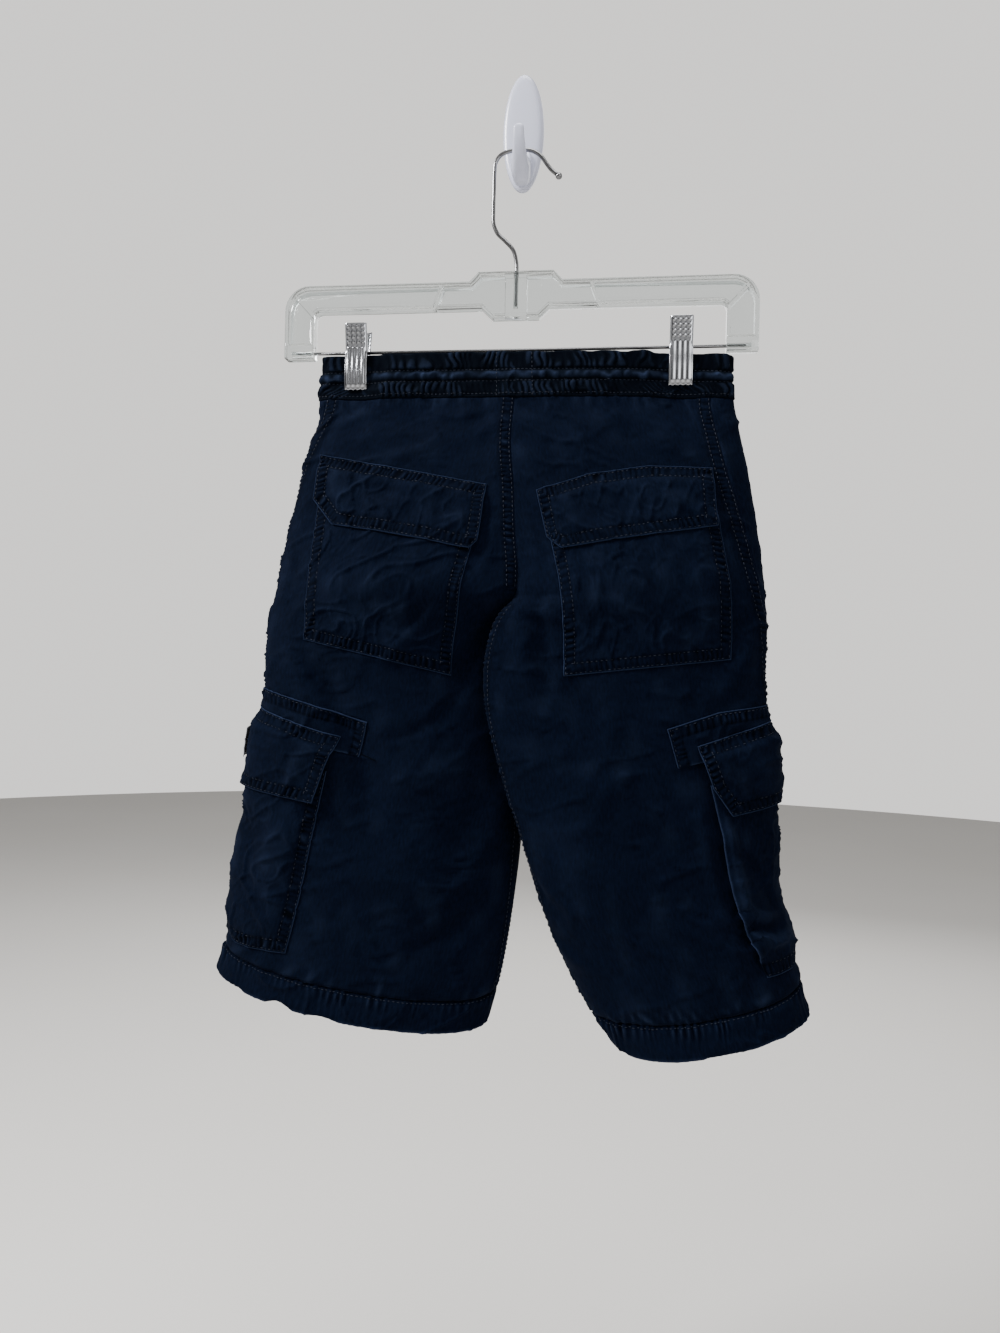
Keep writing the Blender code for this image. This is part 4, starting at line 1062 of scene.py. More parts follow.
@dataclass(frozen=True)
class Seam:
    """What two rows of stitches do to a strip of cloth: they pull it into short puckers, and
    the wash rubs the tops of the puckers pale. Painted shade darkens the troughs between them and the stitch rows."""

    band: float = 8.0
    rows: tuple[float, ...] = (1.3, 6.9)
    pitch: float = 3.5
    pucker: float = 0.55
    slant: float = 0.05
    rub: float = 0.22
    rim: float = 0.42
    seed: int = 1

    def dress(self, inside: Array, along: Array) -> tuple[Array, Array]:
        """Work out the strip's height, and its wear with painted shade.

        Args:
            inside: distance in from the strip's edge.
            along: distance along the edge.

        Returns:
            How far the cloth is lifted, and how worn it is, with painted shade below nought in the troughs and along
            the stitch rows.
        """
        ripple = Ripple(self.seed)
        phase = along / self.pitch + 0.8 * ripple(along / 9) + self.slant * inside
        strength = np.clip(0.8 + 0.7 * ripple(along / 7, inside / 9 + 4), 0.15, 1.6)
        crest = np.cos(2 * math.pi * phase) * strength
        within = ramp(inside - self.rows[0] + 0.6, 1.6) * ramp(self.band + 0.4 - inside, 2.0)
        lift = self.pucker * crest * within
        # painted shade: the pucker troughs, the whole strip a little and the stitch rows darken; the crests turn pale
        # with wear
        worn = within * (self.rub * np.clip(crest, 0, 1) - 0.95 * np.clip(-crest, 0, 1) - 0.12)
        for row in self.rows:
            lift = lift - 0.34 * groove(inside - row, 0.75)
            worn = worn - 0.55 * groove(inside - row, 0.6)
        return lift, worn + self.rim * groove(inside, 0.7)


# ---- panels --------------------------------------------------------------------------------
def spaced(width: Array, fine: float, edge: int, middle: int) -> Array:
    """Distances across strips of several widths: fine steps at both edges, even ones between.

    Args:
        width: the strips' widths.
        fine: the step at the edges.
        edge: how many fine steps each edge has.
        middle: how many even steps lie between.

    Returns:
        One row of distances for each strip.
    """
    near = fine * np.arange(edge)
    share = np.linspace(0, 1, middle + 1)
    inner = width[:, None] - 2 * fine * edge
    wide = np.broadcast_to(near, (len(width), edge))
    return np.concatenate([wide, fine * edge + inner * share, width[:, None] - wide[:, ::-1]], axis=1)


@dataclass
class Panels:
    """The two back panels and the two front panels, cut as one round of each leg."""

    legs: dict[str, Leg]
    finishes: Finishes
    stitches: StitchTree
    row_step: float = 1.28
    cloth: float = 0.8
    tuck: float = 4.0
    back_cut: tuple[float, float] = (0.205, 0.372)
    back_area: float = 0.064
    front_cut: tuple[float, float] = (0.200, 0.372)
    front_area: float = 0.062

    def build(self) -> dict[str, bpy.types.Object]:
        """Make the four panels.

        Returns:
            The panels by node name.
        """
        rows = round((HEM_SEAM + 0.8 + self.tuck) / self.row_step) + 1
        levels = np.linspace(-self.tuck, HEM_SEAM + 0.8, rows)
        grids = {}
        for side, leg in self.legs.items():
            back, front = leg.reaches(levels)
            seam = leg.seam_at(levels)
            over_back = spaced(back + seam, 0.95, 10, 55) - back[:, None]
            over_front = spaced(front - seam, 1.7, 5, 46) + seam[:, None]
            a = np.concatenate([over_back, over_front[:, 1:]], axis=1)
            places = np.stack([a, np.broadcast_to(levels[:, None], a.shape)], -1)
            points = leg.spot(places.reshape(-1, 2))[0].reshape(a.shape + (3,))
            grids[side] = [leg, places, points, back, front, over_back.shape[1]]
        above = levels <= CROTCH
        first = {side: grid_normals(g[2], g[0].outward, ~above) for side, g in grids.items()}
        self.share(first, above)
        # worn keeps each leg's wear with its painted shade
        raised, worn = {}, {}
        for side, (leg, places, points, back, front, _) in grids.items():
            lift, wear_and_shade = self.lift(side, leg, places, back, front)
            raised[side] = points + first[side] * lift[..., None]
            worn[side] = wear_and_shade
        last = {side: grid_normals(raised[side], g[0].outward, ~above) for side, g in grids.items()}
        self.share(last, above)
        made = {}
        for side, (_, places, _, _, _, split) in grids.items():
            for layer, columns in (("back", slice(0, split)), ("front", slice(split - 1, None))):
                outer = raised[side][:, columns]
                inner = outer - last[side][:, columns] * self.cloth
                skin = Skin(outer, inner, places[:, columns], worn[side][:, columns])
                node = f"{layer}_{side}"
                piece = skin.mesh(f"{layer}_panel_{side}", self.finishes.twill)
                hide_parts(node)
                made[node] = piece
        self.sew()
        return made

    @staticmethod
    def share(normals: dict[str, Array], above: Array) -> None:
        """Give both legs the same normals along their centre back and centre front seams."""
        for column in (0, -1):
            shared = unit(normals["left"][above, column] + normals["right"][above, column])
            normals["left"][above, column] = normals["right"][above, column] = shared

    def lift(self, side: str, leg: Leg, places: Array, back: Array, front: Array) -> tuple[Array, Array]:
        """Height, and wear with painted shade, of one leg's cloth over its smooth surface.

        Args:
            side: which leg.
            leg: its surface.
            places: its rows and columns of cloth places.
            back: how far the back reaches in each row.
            front: how far the front does.

        Returns:
            The lift, and the wear with painted shade, at every place.
        """
        a, level = places[..., 0], places[..., 1]
        flat = places.reshape(-1, 2)
        room = np.minimum(a + back[:, None], front[:, None] - a)
        lift = leg.relief(flat).reshape(a.shape) * ramp(room, 12.0)
        wear_and_shade = 0.05 * leg.ripple(a / 9, level / 12)
        inner = a + back[:, None]
        rise = self.felled(inner, level, Seam(seed=21 if side == "left" else 22, pucker=0.75, rub=0.3))
        if side == "left":
            seat = 1 - ramp(level - CROTCH + 5, 6.0)
        else:
            seat = np.zeros(a.shape)
        thigh = ramp(level - CROTCH, 8.0) * 0.7
        lift = lift + rise[0] * (seat + thigh)
        wear_and_shade = wear_and_shade + rise[1] * (seat + thigh)
        off = leg.seam_at(level[:, 0])[:, None] - a
        rise = self.felled(off, level, Seam(seed=31 if side == "left" else 32))
        hip = (off >= 0) * (1 - ramp(level - 184, 10.0))
        lift, wear_and_shade = lift + rise[0] * hip, wear_and_shade + rise[1] * hip
        top = level - WAIST_SEAM
        gather = 0.45 * leg.ripple(a / 2.6, level / 14 + 7) * ramp(top, 2.0) * ramp(13 - top, 12.0)
        lift = lift + gather * ramp(room, 12.0) - 1.9 * ramp(1.2 - top, 2.6)
        hem = HEM_SEAM - level
        turn = a / 4.3 + 0.9 * leg.ripple(a / 14, 3.0) + level / 26
        rope = 0.5 * np.cos(2 * math.pi * turn) * ramp(9 - hem, 8.0)
        rope = rope * np.clip(0.55 + 0.8 * leg.ripple(a / 9, level / 12), 0, 1.3)
        lift = lift + rope * ramp(room, 8.0) - 1.5 * ramp(0.9 - hem, 1.7)
        # painted shade: the troughs of the waist gathers and of the hem's roping darken, their crests turn pale with
        # wear
        wear_and_shade = wear_and_shade + 0.3 * np.clip(gather + rope, -1.5, 0.6)
        return lift, wear_and_shade

    @staticmethod
    def felled(inside: Array, along: Array, seam: Seam) -> tuple[Array, Array]:
        """Height, and wear with painted shade, of a felled seam's flat strip, which stands a little off its panel."""
        lift, worn = seam.dress(inside, along)
        strip = (1 - ramp(inside - seam.band, 1.2)) * ramp(inside + 0.2, 1.2)
        # painted shadow: a dark line just past the strip's edge, where it stands off the panel
        return 0.55 * strip + lift * strip, worn * strip - 0.5 * groove(inside - seam.band - 0.6, 0.7)

    def sew(self) -> None:
        """Stitch the felled seams."""
        left, right = self.legs["left"], self.legs["right"]
        lines = []
        for inset in (1.3, 6.9):
            level = np.linspace(2, CROTCH - 6, 60)
            lines.append(self.on(left, np.stack([inset - left.reaches(level)[0], level], 1)))
            for leg in (left, right):
                level = np.linspace(2, 184, 80)
                lines.append(self.on(leg, np.stack([leg.seam_at(level) - inset, level], 1)))
                level = np.linspace(CROTCH + 8, HEM_SEAM - 3, 100)
                lines.append(self.on(leg, np.stack([inset - leg.reaches(level)[0], level], 1), 0.42))
        self.stitches.sew("seam_stitches", lines, self.finishes.thread, Slot.TWILL)

    @staticmethod
    def on(leg: Leg, places: Array, lift: float = 0.52) -> Array:
        """Points just off the cloth at some places."""
        points, normals = leg.cloth(places)
        return points + normals * lift


# ---- pieces sewn on ------------------------------------------------------------------------
def resample(line: Array, shares: Array) -> Array:
    """Points at shares of a line's length."""
    at = np.concatenate([[0], np.cumsum(np.linalg.norm(np.diff(line, axis=0), axis=1))])
    return np.stack([np.interp(shares * at[-1], at, line[:, k]) for k in (0, 1)], 1)


def ease(distance: Array, radius: float) -> Array:
    """Height share of a rounded edge, a distance in from it."""
    t = np.clip(distance / radius, 0, 1)
    return np.sqrt(1 - (1 - t) ** 2)


@dataclass
class Applique:
    """A piece of cloth laid on a leg: its four sides as lines of cloth places.

    top and bottom run the same way, and so do left and right, which start at the top's ends.
    """

    node: str
    leg: Leg
    top: list[Place]
    right: list[Place]
    bottom: list[Place]
    left: list[Place]
    step: float = 1.0
    cloth: float = 0.9
    crumple: float = 0.25
    seed: int = 1
    stitched: str = "trbl"
    inner_row: bool = True
    creases: tuple[Crease, ...] = ()
    slot: Slot = Slot.TWILL
    rests_on: tuple[str, ...] = ()
    cut: tuple[float, float] | None = None

    def stand_off(self, places: Array, off: dict[str, Array]) -> Array:
        """How far the piece's under side stands off the leg's cloth."""
        return np.full(len(places), 0.35)

    def distances(self, places: Array) -> tuple[dict[str, Array], dict[str, Array]]:
        """Distance of places to each side, and how far along it the nearest point is."""
        off, along = {}, {}
        for key in "trbl":
            line = np.array({"t": self.top, "r": self.right, "b": self.bottom, "l": self.left}[key], float)
            signed, along[key] = off_line(places, line)
            off[key] = np.abs(signed)
        return off, along

    def surface(self, places: Array) -> tuple[Array, Array, Array]:
        """Find the piece's outer points, inner points, and wear with painted shade, at some places."""
        off, along = self.distances(places)
        rim = np.minimum.reduce(list(off.values()))
        under = self.stand_off(places, off)
        a, level = places.T
        ripple = Ripple(self.seed)
        body = ramp(rim - 4, 8.0)
        rise = self.crumple * (ripple(a / 11, level / 16) + 0.5 * ripple(a / 5.5 + 7, level / 9)) * body
        fold = 1 - np.abs(ripple((a + 0.6 * level) / 13 + 5, (level - 0.8 * a) / 15 + 3)) * 3.4
        rise = rise + 1.3 * self.crumple * np.clip(fold, 0, 1) ** 2.5 * ramp(rim - 2, 6.0)
        for crease in self.creases:
            rise = rise + crease.height(places) * ramp(rim - 1, 4.0)
        # painted shade: low creases darken; raised ones turn a little paler
        wear_and_shade = 0.05 * np.clip(rise, -2, 1.5) + 0.04 * ripple(a / 7, level / 8)
        nearest = np.full(len(places), np.inf)
        # worn takes each seam's wear with its painted shade in the pucker troughs and stitch rows
        lift, worn = np.zeros(len(places)), np.zeros(len(places))
        for number, key in enumerate(self.stitched):
            seam = Seam(seed=self.seed + number, rows=(1.3, 6.9) if self.inner_row else (1.6,))
            one = seam.dress(off[key], along[key])
            closer = off[key] < nearest
            lift, worn = np.where(closer, one[0], lift), np.where(closer, one[1], worn)
            nearest = np.minimum(nearest, off[key])
        rise = rise + lift * ramp(rim, 1.5)
        wear_and_shade = wear_and_shade + worn + (0.4 * groove(rim, 0.7) if self.stitched else 0) * (nearest > rim + 0.3)
        points, normals = self.leg.cloth(places)
        edge = ease(rim, 0.9)
        low = under + 0.35 * self.cloth * (1 - edge)
        top = under + rise + self.cloth * (0.4 + 0.6 * edge)
        low = np.minimum(low + np.minimum(rise, 0), top - 0.12)
        return points + normals * top[:, None], points + normals * low[:, None], wear_and_shade

    def build(self, finish: bpy.types.Material) -> bpy.types.Object:
        """Make the piece.

        Args:
            finish: its material.

        Returns:
            The piece, which stands for its CAD node.
        """
        sides = [np.array(line, float) for line in (self.top, self.right, self.bottom, self.left)]
        spans = [np.linalg.norm(np.diff(line, axis=0), axis=1).sum() for line in sides]
        u = self.shares(max(spans[0], spans[2]))
        v = self.shares(max(spans[1], spans[3]))
        top, bottom = resample(sides[0], u), resample(sides[2], u)
        right, left = resample(sides[1], v), resample(sides[3], v)
        uu, vv = u[None, :, None], v[:, None, None]
        places = (1 - vv) * top[None] + vv * bottom[None] + (1 - uu) * left[:, None] + uu * right[:, None]
        places = places - (1 - vv) * ((1 - uu) * top[0] + uu * top[-1])
        places = places - vv * ((1 - uu) * bottom[0] + uu * bottom[-1])
        shape = places.shape[:2]
        outer, inner, wear_and_shade = self.surface(places.reshape(-1, 2))
        outer, inner = outer.reshape(shape + (3,)), inner.reshape(shape + (3,))
        kink = groove(places[..., 1] - CROTCH, 5.0)[1:-1, :, None]
        for grid in (outer, inner):
            for _ in range(8):
                grid[1:-1] += kink * ((grid[:-2] + grid[2:]) / 2 - grid[1:-1]) * 0.8
        skin = Skin(outer, inner, places, wear_and_shade.reshape(shape))
        piece = skin.mesh(f"{self.node}_cloth", finish)
        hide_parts(self.node)
        width, height = max(spans[0], spans[2]) * MM, max(spans[1], spans[3]) * MM
        rim = np.concatenate([sides[0][:-1], sides[1][:-1], sides[2][:0:-1], sides[3][:0:-1]])
        after = np.roll(rim, -1, axis=0)
        area = abs(float((rim[:, 0] * after[:, 1] - rim[:, 1] * after[:, 0]).sum())) / 2 * MM**2
        cut, area = (self.cut, None) if self.cut else ((width, height), min(area, 0.999 * width * height))
        LOG.info("%s: cut %.0f by %.0f mm", self.node, cut[0] / MM, cut[1] / MM)
        return piece

    def shares(self, span: float) -> Array:
        """Shares of a side's length: close together at both ends, where the edge is round."""
        close = np.array([0.0, 0.25, 0.6])
        even = np.linspace(1.1, span - 1.1, max(4, round((span - 2.2) / self.step)))
        return np.concatenate([close, even, span - close[::-1]]) / span

    def rows(self, keys: str, insets: tuple[float, ...]) -> list[Array]:
        """Lines of points for stitches, inset from some of the sides."""
        lines = []
        centre = np.mean(np.array(self.top + self.bottom, float), axis=0)
        for key in keys:
            side = {"t": self.top, "r": self.right, "b": self.bottom, "l": self.left}[key]
            line = np.array(side, float)
            for inset in insets:
                ways = np.gradient(resample(line, np.linspace(0, 1, 50)), axis=0)
                dots = resample(line, np.linspace(0, 1, 50))
                out = unit(np.stack([-ways[:, 1], ways[:, 0]], 1))
                out = out * np.sign(((centre - dots) * out).sum(1))[:, None]
                places = dots + out * inset
                off, _ = self.distances(places)
                clear = np.minimum.reduce([off[k] for k in "trbl" if k != key]) > 0.8 * inset
                if clear.sum() > 3:
                    lines.append(self.surface(places[clear])[0])
        return lines


@dataclass
class Pocket(Applique):
    """A patch pocket, full in the middle and sewn down round its closed sides."""

    bulge: float = 1.2
    closed: str = "trbl"

    def stand_off(self, places: Array, off: dict[str, Array]) -> Array:
        """How far the pocket's under side stands off the panel."""
        return 0.3 + self.bulge * ramp(np.minimum.reduce([off[key] for key in self.closed]), 14)


@dataclass
class Flap(Applique):
    """A pocket flap, sewn along some sides and standing clear of the pocket at the others."""

    base: float = 0.3
    clear: float = 2.9
    sewn: str = "t"

    def stand_off(self, places: Array, off: dict[str, Array]) -> Array:
        """How far the flap's under side stands off the panel."""
        return self.base + self.clear * ramp(np.minimum.reduce([off[key] for key in self.sewn]) - 3, 9)


@dataclass
class SewnPieces:
    """Pockets, flaps and patches of both legs."""

    left: Leg
    right: Leg
    finishes: Finishes
    stitches: StitchTree

    def left_pieces(self) -> list[Applique]:
        """Pieces of the left leg."""
        seat, thigh = ("back_left",), ("back_left", "front_left")
        return [
            Pocket(
                "back_pocket_left", self.left,
                top=[(-21, 62), (-131, 76)], right=[(-131, 76), (-135, 178)],
                bottom=[(-38.5, 158), (-135, 178)], left=[(-21, 62), (-38.5, 158)],
                seed=101, stitched="rbl", rests_on=seat, crumple=0.35,
                creases=(
                    Crease(((-60, 122), (-84, 130), (-110, 146)), 8, 1.0, 0.3),
                    Crease(((-44, 112), (-58, 136), (-64, 156)), 6, 0.8, -0.2),
                    Crease(((-100, 104), (-118, 118), (-130, 138)), 7, -0.8, 0.2),
                ),
            ),
            Flap(
                "back_flap_left", self.left,
                top=[(-15, 38), (-129.5, 58)], right=[(-129.5, 58), (-135, 95), (-131, 100)],
                bottom=[(-20, 68), (-38, 85), (-131, 100)], left=[(-15, 38), (-20, 68)],
                seed=111, rests_on=("back_pocket_left",), sewn="t", crumple=0.75,
                creases=(
                    Crease(((-26, 50), (-34, 64), (-48, 84)), 5, 1.5, 0.4, 0.2),
                    Crease(((-58, 58), (-76, 66), (-98, 68)), 4, -0.9, 0.4),
                    Crease(((-86, 74), (-104, 82), (-124, 80)), 5, 0.9, -0.3),
                    Crease(((-44, 52), (-52, 66), (-70, 80)), 4, 0.8, 0.3),
                ),
            ),
            Applique(
                "cargo_patch_left", self.left,
                top=[(-84, 207), (-14, 190), (40, 184)], right=[(40, 184), (40, 205)],
                bottom=[(-81, 228), (40, 205)], left=[(-84, 207), (-81, 228)],
                seed=121, stitched="tl", rests_on=thigh, crumple=0.2,
            ),
            Pocket(
                "cargo_pocket_left", self.left,
                top=[(-63, 237), (51, 224)], right=[(51, 224), (50, 334)],
                bottom=[(-56, 342), (-18, 347), (50, 334)], left=[(-63, 237), (-56, 342)],
                seed=131, stitched="rbl", bulge=3.5, closed="rbl", rests_on=thigh, crumple=0.5,
                creases=(
                    Crease(((-50, 262), (-34, 290), (-30, 322)), 8, 1.3, 0.3),
                    Crease(((-20, 256), (-16, 292), (-22, 330)), 10, -1.1, 0.2),
                    Crease(((10, 260), (4, 300), (12, 326)), 9, 0.9, -0.2),
                ),
            ),
            Flap(
                "cargo_flap_left", self.left,
                top=[(-67, 217), (-4, 201), (50, 194)], right=[(50, 194), (56, 238)],
                bottom=[(-59, 256), (-4, 252), (56, 238)], left=[(-67, 217), (-59, 256)],
                seed=141, base=1.5, clear=4.7, sewn="t", rests_on=("cargo_pocket_left",), crumple=0.5,
                creases=(
                    Crease(((-50, 222), (-42, 238), (-44, 252)), 5, 0.9, 0.3),
                    Crease(((-10, 212), (0, 228), (-4, 246)), 6, -0.8, 0.3),
                ),
            ),
        ]

    def right_pieces(self) -> list[Applique]:
        """Pieces of the right leg."""
        seat, thigh = ("back_right",), ("back_right", "front_right")
        return [
            Pocket(
                "back_pocket_right", self.right,
                top=[(-134, 81), (-29, 67)], right=[(-29, 67), (-28.5, 164)],
                bottom=[(-128.5, 175), (-28.5, 164)], left=[(-134, 81), (-128.5, 175)],
                seed=102, stitched="rbl", rests_on=seat, crumple=0.35,
                creases=(
                    Crease(((-116, 112), (-92, 124), (-66, 120)), 8, 0.9, 0.3),
                    Crease(((-122, 140), (-104, 152), (-84, 164)), 6, -0.8, 0.2),
                    Crease(((-58, 110), (-46, 130), (-44, 152)), 6, 0.8, -0.3),
                ),
            ),
            Flap(
                "back_flap_right", self.right,
                top=[(-136.5, 62), (-101, 51), (-64, 46), (-25.5, 47)], right=[(-25.5, 47), (-31, 85)],
                bottom=[(-135.5, 91.5), (-127, 99.5), (-31, 85)], left=[(-136.5, 62), (-135.5, 91.5)],
                seed=112, sewn="tl", rests_on=("back_pocket_right",), crumple=0.75,
                creases=(
                    Crease(((-112, 62), (-98, 74), (-82, 76)), 4, -0.9, 0.4),
                    Crease(((-78, 56), (-60, 66), (-40, 64)), 4, 0.9, 0.3),
                    Crease(((-124, 78), (-106, 88), (-88, 86)), 5, 0.8, -0.3),
                    Crease(((-52, 70), (-42, 78), (-34, 80)), 4, -0.7, 0.3),
                ),
            ),
            Applique(
                "cargo_patch_right", self.right,
                top=[(-70, 205), (-38, 195), (0, 190), (56, 184)], right=[(56, 184), (56, 205)],
                bottom=[(-65, 228), (0, 214), (56, 205)], left=[(-70, 205), (-65, 228)],
                seed=122, stitched="tl", rests_on=thigh, crumple=0.2,
            ),
            Pocket(
                "cargo_pocket_right", self.right,
                top=[(-47, 238), (56, 222)], right=[(56, 222), (56, 330)],
                bottom=[(-30, 341), (-10, 343), (56, 330)], left=[(-47, 238), (-30, 341)],
                seed=132, stitched="rb", bulge=3.5, closed="rb", rests_on=thigh, crumple=0.6,
                creases=(
                    Crease(((-43, 252), (-33, 280), (-30, 308)), 5, 2.6, 0.4, 0.15),
                    Crease(((-37, 270), (-20, 290), (-10, 318)), 4, -2.0, 0.3, 0.2),
                    Crease(((-36, 300), (-22, 310), (-8, 312)), 3.2, 2.2, 0.3, 0.2),
                    Crease(((-33, 318), (-20, 326), (-4, 324)), 3.2, 2.4, -0.3, 0.2),
                    Crease(((-34, 310), (-22, 318), (-6, 318)), 2.6, -1.8, 0.0, 0.2),
                ),
            ),
            Flap(
                "cargo_flap_right", self.right,
                top=[(-53, 215), (-5, 200), (58, 192)], right=[(58, 192), (62, 236)],
                bottom=[(-46, 240), (-36, 256), (-10, 252), (62, 236)], left=[(-53, 215), (-46, 240)],
                seed=142, base=1.5, clear=4.7, sewn="t", rests_on=("cargo_pocket_right",), crumple=0.5,
                creases=(
                    Crease(((-40, 222), (-30, 236), (-32, 250)), 5, 1.0, 0.3),
                    Crease(((-8, 210), (-2, 226), (-10, 246)), 6, -0.9, 0.3),
                ),
            ),
        ]

    def label(self) -> Applique:
        """The small grey label sewn on the left cargo flap."""
        return LabelTag(
            "cargo_label", self.left,
            top=[(-5, 216), (11, 212)], right=[(11, 212), (12, 232)],
            bottom=[(-4, 236), (12, 232)], left=[(-5, 216), (-4, 236)],
            step=0.7, cloth=0.7, crumple=0.1, stitched="", seed=151, slot=Slot.LABEL,
            rests_on=("cargo_flap_left",), cut=(0.030, 0.020),
        )

    def build(self) -> None:
        """Make the pieces and stitch them."""
        lines = []
        for piece in self.left_pieces() + self.right_pieces():
            piece.build(self.finishes.twill)
            keys = piece.stitched if isinstance(piece, Pocket) else "trbl"
            if isinstance(piece, (Pocket, Flap)):
                lines += piece.rows(keys, (1.3, 6.9))
            else:
                lines += piece.rows("tl", (1.6,))
        self.label().build(self.finishes.label)
        self.stitches.sew("pocket_stitches", lines, self.finishes.thread, Slot.TWILL)
        tack = np.linspace((-81, 226), (-92, 229), 12)
        self.stitches.sew(
            "bar_tack", [Panels.on(self.left, tack, 0.2)], self.finishes.band, Slot.TWILL, 0.8, 1.0, 0.45
        )


@dataclass
class LabelTag(Applique):
    """A label that lies on the left cargo flap."""

    def stand_off(self, places: Array, off: dict[str, Array]) -> Array:
        """How far the label's under side stands off the panel: the flap's height and a little."""
        top = np.array([(-67, 217), (-4, 201), (50, 194)], float)
        sewn = np.abs(off_line(places, top)[0])
        return 1.5 + 4.7 * ramp(sewn - 3, 9) + 1.7 + np.zeros(len(places))


# ---- hems and waistband --------------------------------------------------------------------
@dataclass
class Hem:
    """The turned-up hem of one leg: roped along its stitches, worn pale along its edge, with painted shade in the
    troughs of the roping and along its stitches.
    """

    side: str
    leg: Leg
    finishes: Finishes
    tuck: float = 1.6
    step: float = 0.95
    cloth: float = 1.5

    def build(self) -> Array:
        """Make the hem.

        Returns:
            The line of its stitches.
        """
        rows = round((HEM_EDGE - HEM_SEAM + self.tuck) / self.step)
        levels = np.concatenate(
            [np.linspace(HEM_SEAM - self.tuck, HEM_EDGE - 1.2, rows), HEM_EDGE - np.array([0.7, 0.3, 0.05])]
        )
        back, front = self.leg.reaches(levels)
        share = np.linspace(0, 1, 390)
        a = share * (back + front)[:, None] - back[:, None]
        sag = 1.7 * self.leg.ripple(a / 15, 31.0) * ramp(levels[:, None] - HEM_SEAM, 16)
        level = np.clip(levels[:, None] + np.minimum(sag, 0), levels[0], HEM_EDGE)
        places = np.stack([a, np.broadcast_to(level, a.shape)], -1)
        points = self.leg.spot(places.reshape(-1, 2))[0].reshape(a.shape + (3,))
        points[:, -1] = points[:, 0]
        normals = grid_normals(points, self.leg.outward, np.ones(len(levels), bool))
        room = np.minimum(a + back[:, None], front[:, None] - a)
        down = level - HEM_SEAM
        lift = self.leg.relief(places.reshape(-1, 2)).reshape(a.shape) * ramp(room, 12.0)
        turn = a / 4.3 + 0.9 * self.leg.ripple(a / 14, 3.0) + level / 26
        rope = np.cos(2 * math.pi * turn) * np.clip(0.55 + 0.8 * self.leg.ripple(a / 9, level / 12), 0, 1.3)
        lift = lift + (0.75 * ramp(10 - down, 9) + 0.25) * rope * ramp(down, 2) * ramp(room, 8)
        lift = lift + 0.35 * ramp(down - 1, 3) - 2.5 * (1 - ramp(down - 0.2, 1.9))
        lift = lift - 0.35 * groove(down - 2.2, 0.7)
        rim = ease(HEM_EDGE - levels, 1.2)[:, None]
        # painted shade: the roping's troughs and the line of the stitches darken; the roping's crests and the hem's
        # edge turn pale with wear
        wear_and_shade = (0.22 * np.clip(rope, 0, 1) - 0.7 * np.clip(-rope, 0, 1)) * ramp(10 - down, 9)
        wear_and_shade = wear_and_shade + 0.40 * (1 - ramp(HEM_EDGE - level, 1.6)) - 0.4 * groove(down - 1.2, 1.0)
        outer = points + normals * (lift - 0.7 * (1 - rim))[..., None]
        inner = points + normals * (np.minimum(lift, 0.4) - self.cloth * rim - 0.8 * (1 - rim))[..., None]
        skin = Skin(outer[:, :-1], inner[:, :-1], places[:, :-1], wear_and_shade[:, :-1], ring=True)
        piece = skin.mesh(f"hem_{self.side}_cloth", self.finishes.twill)
        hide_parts(f"hem_{self.side}")
        return outer[np.argmin(np.abs(levels - HEM_SEAM - 2.2))][:-1]


